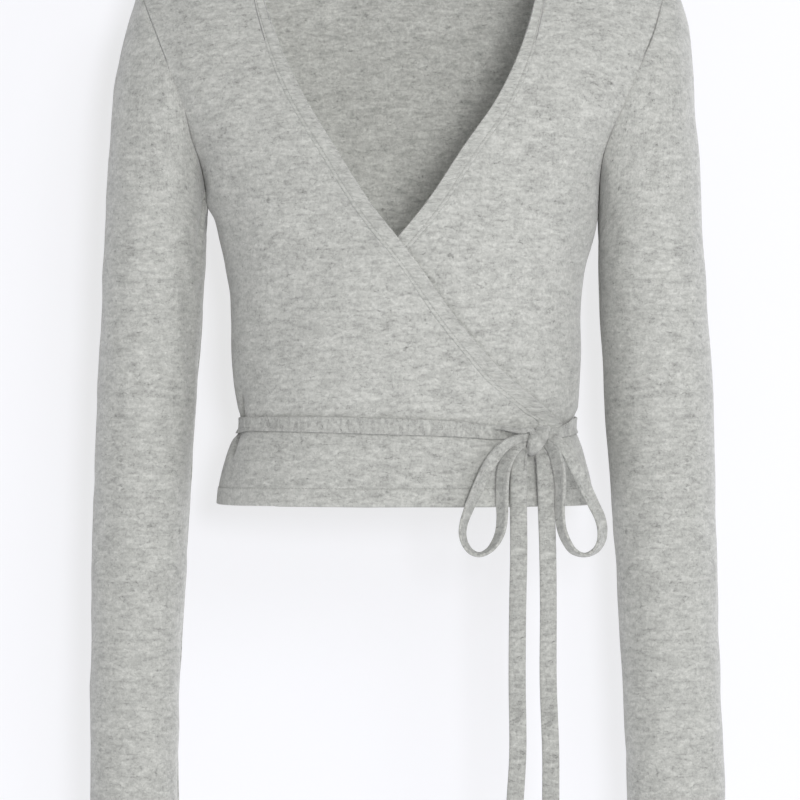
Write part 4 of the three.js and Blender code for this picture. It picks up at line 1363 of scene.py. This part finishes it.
def knit_group():
    """Plain knit: columns of small slanted stitches. Height from 0 to 1."""
    group, given = new_group(
        "plain_knit",
        [
            ("Vector", "NodeSocketVector", None),
            ("Wale", "NodeSocketFloat", WALE),
            ("Course", "NodeSocketFloat", COURSE),
        ],
        [("Height", "NodeSocketFloat")],
    )
    calc = calculator(group)
    across, along, _ = add_node(group, "ShaderNodeSeparateXYZ", {0: given["Vector"]}).outputs
    wale, course = calc("DIVIDE", across, given["Wale"]), calc("DIVIDE", along, given["Course"])
    aside = calc("MULTIPLY", calc("ABSOLUTE", calc("SUBTRACT", calc("FRACT", wale), 0.5)), 2.0)
    slanted = calc("MULTIPLY_ADD", aside, LEG_SLANT, course)
    leg = calc("MULTIPLY_ADD", calc("SINE", calc("MULTIPLY", slanted, FULL)), LEG_HIGH, 0.5)
    valley = calc("POWER", aside, VALLEY_POWER)
    centre = calc("POWER", calc("SUBTRACT", 1.0, aside), CENTRE_POWER)
    dip = calc("MULTIPLY", calc("ADD", valley, centre), DIP_DEEP)
    add_node(group, "NodeGroupOutput", {"Height": calc("SUBTRACT", leg, dip, clamp=True)})
    return group


# The reverse side of the cloth is painted lighter, painted light on the inside of the back that shows
# through the neck, and it is a little bolder in its heather.
REVERSE_PAINTED_LIGHT = 0.2
REVERSE_BOLDER = 0.2

# What the knit adds to the colour, as painted shade in its grooves and painted light on its stitches, and
# to the relief of the cloth, whose fuzz counts whole.
KNIT_GROOVE_PAINTED_SHADE = 0.1
KNIT_RELIEF = 0.5
HEATHER = heather_group()
KNIT = knit_group()


def new_material(name, constants):
    """A material with constant values on its shader, with its tree and its shader."""
    material = bpy.data.materials.new(name)
    material.use_nodes = True
    shader = material.node_tree.nodes["Principled BSDF"]
    for label, value in constants.items():
        shader.inputs[label].default_value = value
    return material, material.node_tree, shader


def paint_and_relief(tree, shader, tone, level, height, strength, distance):
    bump = add_node(tree, "ShaderNodeBump", {"Strength": strength, "Distance": distance, "Height": height})
    tree.links.new(bump.outputs[0], shader.inputs["Normal"])
    tree.links.new(scaled(tree, tone, level).outputs[0], shader.inputs["Base Color"])


def yarn_material(name, tone, contrast, grain=1.0, wale=WALE, course=COURSE):
    constants = {
        "Roughness": 0.92,
        "Specular IOR Level": 0.18,
        "Sheen Weight": 0.4,
        "Sheen Roughness": 0.55,
    }
    material, tree, shader = new_material(name, constants)
    calc = calculator(tree)
    place = add_node(tree, "ShaderNodeUVMap", uv_map="cloth")
    yarn = add_node(tree, "ShaderNodeGroup", {"Vector": place, "Grain": grain}, node_tree=HEATHER).outputs
    loops = {"Vector": place, "Wale": wale, "Course": course}
    knit = add_node(tree, "ShaderNodeGroup", loops, node_tree=KNIT).outputs["Height"]
    side = add_node(tree, "ShaderNodeAttribute", attribute_name="reverse_side").outputs["Fac"]
    depth = calc("MULTIPLY_ADD", side, contrast * REVERSE_BOLDER, contrast)
    shade = calc("MULTIPLY", yarn["Shade"], depth)
    # Painted shade in the grooves between stitches and painted light on their tops.
    groove = calc("MULTIPLY_ADD", knit, KNIT_GROOVE_PAINTED_SHADE, -KNIT_GROOVE_PAINTED_SHADE / 2)
    # Painted light: the reverse side, seen inside the back through the neck, is made lighter.
    painted_light = calc("MULTIPLY_ADD", side, REVERSE_PAINTED_LIGHT, 1.0)
    level = calc("ADD", calc("ADD", shade, groove), painted_light)
    height = calc("MULTIPLY_ADD", knit, KNIT_RELIEF, yarn["Fuzz"])
    paint_and_relief(tree, shader, tone, level, height, strength=0.35, distance=0.0005)
    return material


def thread_material(name, tone):
    """Fine twisted thread in the colour of the yarn. Its grain follows the object."""
    material, tree, shader = new_material(name, {"Roughness": 0.7, "Specular IOR Level": 0.25})
    place = tree.nodes.new("ShaderNodeTexCoord")
    twist = noise(tree, place.outputs["Object"], *TWIST)
    level = calculator(tree)("MULTIPLY_ADD", twist, 0.5, 0.75)
    paint_and_relief(tree, shader, tone, level, twist, strength=0.3, distance=0.0001)
    return material


# Camera
SENSOR_WIDTH = 36
LENS = 156.25
CAMERA_PLACE = (-0.00288, -2.5, -0.3348)


def make_camera():
    data = bpy.data.cameras.new("camera")
    data.sensor_width = SENSOR_WIDTH
    data.lens = LENS
    camera = placed("camera", data)
    camera.location = CAMERA_PLACE
    camera.rotation_euler = (HALF / 2, 0, 0)
    data.clip_start, data.clip_end = 0.1, 50
    bpy.context.scene.camera = camera


# Lights: name, place, size and power.
LIGHTS = [
    ("front", (0.33, -2.6, -0.15), 0.4, 27.5),
    ("key", (0.9, -2.4, 0.7), 0.9, 14),
    ("side", (2.2, -1.3, 0.1), 1.0, 6.4),
    ("behind", (0.5, 2.6, 0.6), 1.2, 16),
]
LIGHT_AIM = (0, 0, -0.3)


def area_light(name, place, size, power):
    data = bpy.data.lights.new(name, "AREA")
    data.shape = "DISK"
    data.size = size
    data.energy = power
    light = placed(name, data)
    light.location = place
    light.rotation_mode = "QUATERNION"
    light.rotation_quaternion = Vector(np.subtract(LIGHT_AIM, place)).to_track_quat("-Z", "Y")


def make_world():
    world = bpy.data.worlds.new("studio")
    bpy.context.scene.world = world
    world.use_nodes = True
    tree = world.node_tree
    back = tree.nodes["Background"]
    back.inputs["Color"].default_value = (0.93, 0.94, 0.955, 1)
    back.inputs["Strength"].default_value = 0.425
    seen = add_node(tree, "ShaderNodeBackground", {"Color": (0.92, 0.925, 0.94, 1)})
    path = tree.nodes.new("ShaderNodeLightPath")
    mix = add_node(tree, "ShaderNodeMixShader", {0: path.outputs["Is Camera Ray"], 1: back, 2: seen})
    tree.links.new(mix.outputs[0], tree.nodes["World Output"].inputs["Surface"])


def stage_material():
    """Paper that glows a little, so that shadows on it stay faint. It can't be seen from behind."""
    constants = {
        "Base Color": (0.29, 0.295, 0.335, 1),
        "Roughness": 1,
        "Specular IOR Level": 0,
        "Emission Color": (0.98, 0.976, 0.958, 1),
        "Emission Strength": 0.66,
    }
    material, tree, paper = new_material("studio_paper", constants)
    clear = tree.nodes.new("ShaderNodeBsdfTransparent")
    facing = tree.nodes.new("ShaderNodeNewGeometry")
    path = tree.nodes.new("ShaderNodeLightPath")
    hide = calculator(tree)("MAXIMUM", facing.outputs["Backfacing"], path.outputs["Is Shadow Ray"])
    mix = add_node(tree, "ShaderNodeMixShader", {0: hide, 1: paper, 2: clear})
    tree.links.new(mix.outputs[0], tree.nodes["Material Output"].inputs["Surface"])
    return material


BACKDROP_Y = 112
BACKDROP_TOP_Z = 1200
FLOOR_Z = -760
STAGE_HALF_WIDTH = 2600
STAGE_HALF_DEPTH = 3200


def make_stage():
    paper = stage_material()
    around = ((-1, -1), (1, -1), (1, 1), (-1, 1))
    levels = {-1: FLOOR_Z, 1: BACKDROP_TOP_Z}
    wall_points = [(x * STAGE_HALF_WIDTH, BACKDROP_Y, levels[up]) for x, up in around]
    floor_points = [(x * STAGE_HALF_WIDTH, y * STAGE_HALF_DEPTH, FLOOR_Z) for x, y in around]
    wall, floor = [
        make_mesh(name, points, [(0, 1, 2, 3)], materials=[paper], smooth_shade=False)
        for name, points in (("backdrop", wall_points), ("floor", floor_points))
    ]


# The cardigan
make_camera()
make_stage()
make_world()
for light in LIGHTS:
    area_light(*light)
bpy.context.scene.view_settings.view_transform = "Standard"

BODY_TONE = (0.428, 0.43, 0.406)
TIE_TONE = (0.384, 0.386, 0.364)
THREAD_TONE = (0.34, 0.342, 0.323)
jersey = yarn_material("heathered_jersey", BODY_TONE, contrast=0.32)
edging = yarn_material("heathered_edging", BODY_TONE, contrast=0.28, grain=1.1, wale=0.0013, course=0.0013)
thread = thread_material("sewing_thread", THREAD_TONE)
cord_knit = yarn_material("heathered_tie", TIE_TONE, contrast=0.36, wale=0.0012, course=0.001)

# Flat sizes in metres: width, length, area where the cut is no rectangle, how it is held, what it lies on.
AROUND = ["front_over", "front_under", "back_panel"]
SHEETS = {
    "back_panel": (0.426, 0.488, 0.15, "hung", []),
    "front_over": (0.317, 0.481, 0.068, "hung", []),
    "front_under": (0.311, 0.487, 0.07, "hung", []),
    "sleeve_right": (0.34, 0.616, 0.134, "hung", []),
    "sleeve_left": (0.345, 0.618, 0.138, "hung", []),
    "band_over": (0.014, 0.47, None, "hung", ["front_over"]),
    "band_under": (0.0125, 0.455, None, "hung", ["front_under"]),
    "band_back_neck": (0.01, 0.267, None, "hung", ["back_panel"]),
    "tie_waist": (TIE_WIDTH * MM, 0.667, None, "stretched", AROUND),
    "tie_knot": (TIE_WIDTH * MM, 0.072, None, "gathered", ["tie_waist"]),
    "tie_loop_right": (TIE_WIDTH * MM, 0.212, None, "gathered", ["tie_knot"]),
    "tie_loop_left": (TIE_WIDTH * MM, 0.205, None, "gathered", ["tie_knot"]),
    "tie_tail_right": (TIE_WIDTH * MM, 0.293, None, "hung", ["tie_knot"]),
    "tie_tail_left": (TIE_WIDTH * MM, 0.307, None, "hung", ["tie_knot"]),
}

pieces = {
    "back_panel": back_panel("back", jersey),
    "front_over": front_panel(OVER, "over_front", jersey, 11),
    "front_under": front_panel(UNDER, "under_front", jersey, 17),
    "sleeve_right": sleeve_panel("right", "right_sleeve", jersey, 23),
    "sleeve_left": sleeve_panel("left", "left_sleeve", jersey, 29),
    "band_over": front_band(OVER, "over_front_band", edging),
    "band_under": front_band(UNDER, "under_front_band", edging),
    "band_back_neck": neck_band("back_neck_band", edging),
    "tie_waist": waist_tie("waist_tie", cord_knit),
    "tie_loop_right": strip("right_bow_loop", LOOP_RIGHT, cord_knit, LOOP_STEPS, LOOP_RIDGES),
    "tie_loop_left": strip("left_bow_loop", LOOP_LEFT, cord_knit, LOOP_STEPS, LOOP_RIDGES),
    "tie_tail_right": strip("right_tie_end", TAIL_RIGHT, cord_knit, END_STEPS, TAIL_RIDGES),
    "tie_tail_left": strip("left_tie_end", TAIL_LEFT, cord_knit, END_STEPS),
}
pieces["tie_knot"] = joined(
    wrapped_strand("tie_knot_wrap", KNOT_WRAP, cord_knit, KNOT_THICK, KNOT_ACROSS),
    wrapped_strand("knot_curl", KNOT_CURL, cord_knit, CURL_THICK),
)

for node, piece in pieces.items():
    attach(piece, "root")
    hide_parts(node)

sewing = stitch_tree(thread)
rows = {name: sewn_row(name + "_stitches", line, sewing) for name, line in SEWN_LINES.items()}
for row in rows.values():
    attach(row, "root")

for node, (width, length, area, held, under) in SHEETS.items():
    piece = pieces[node]
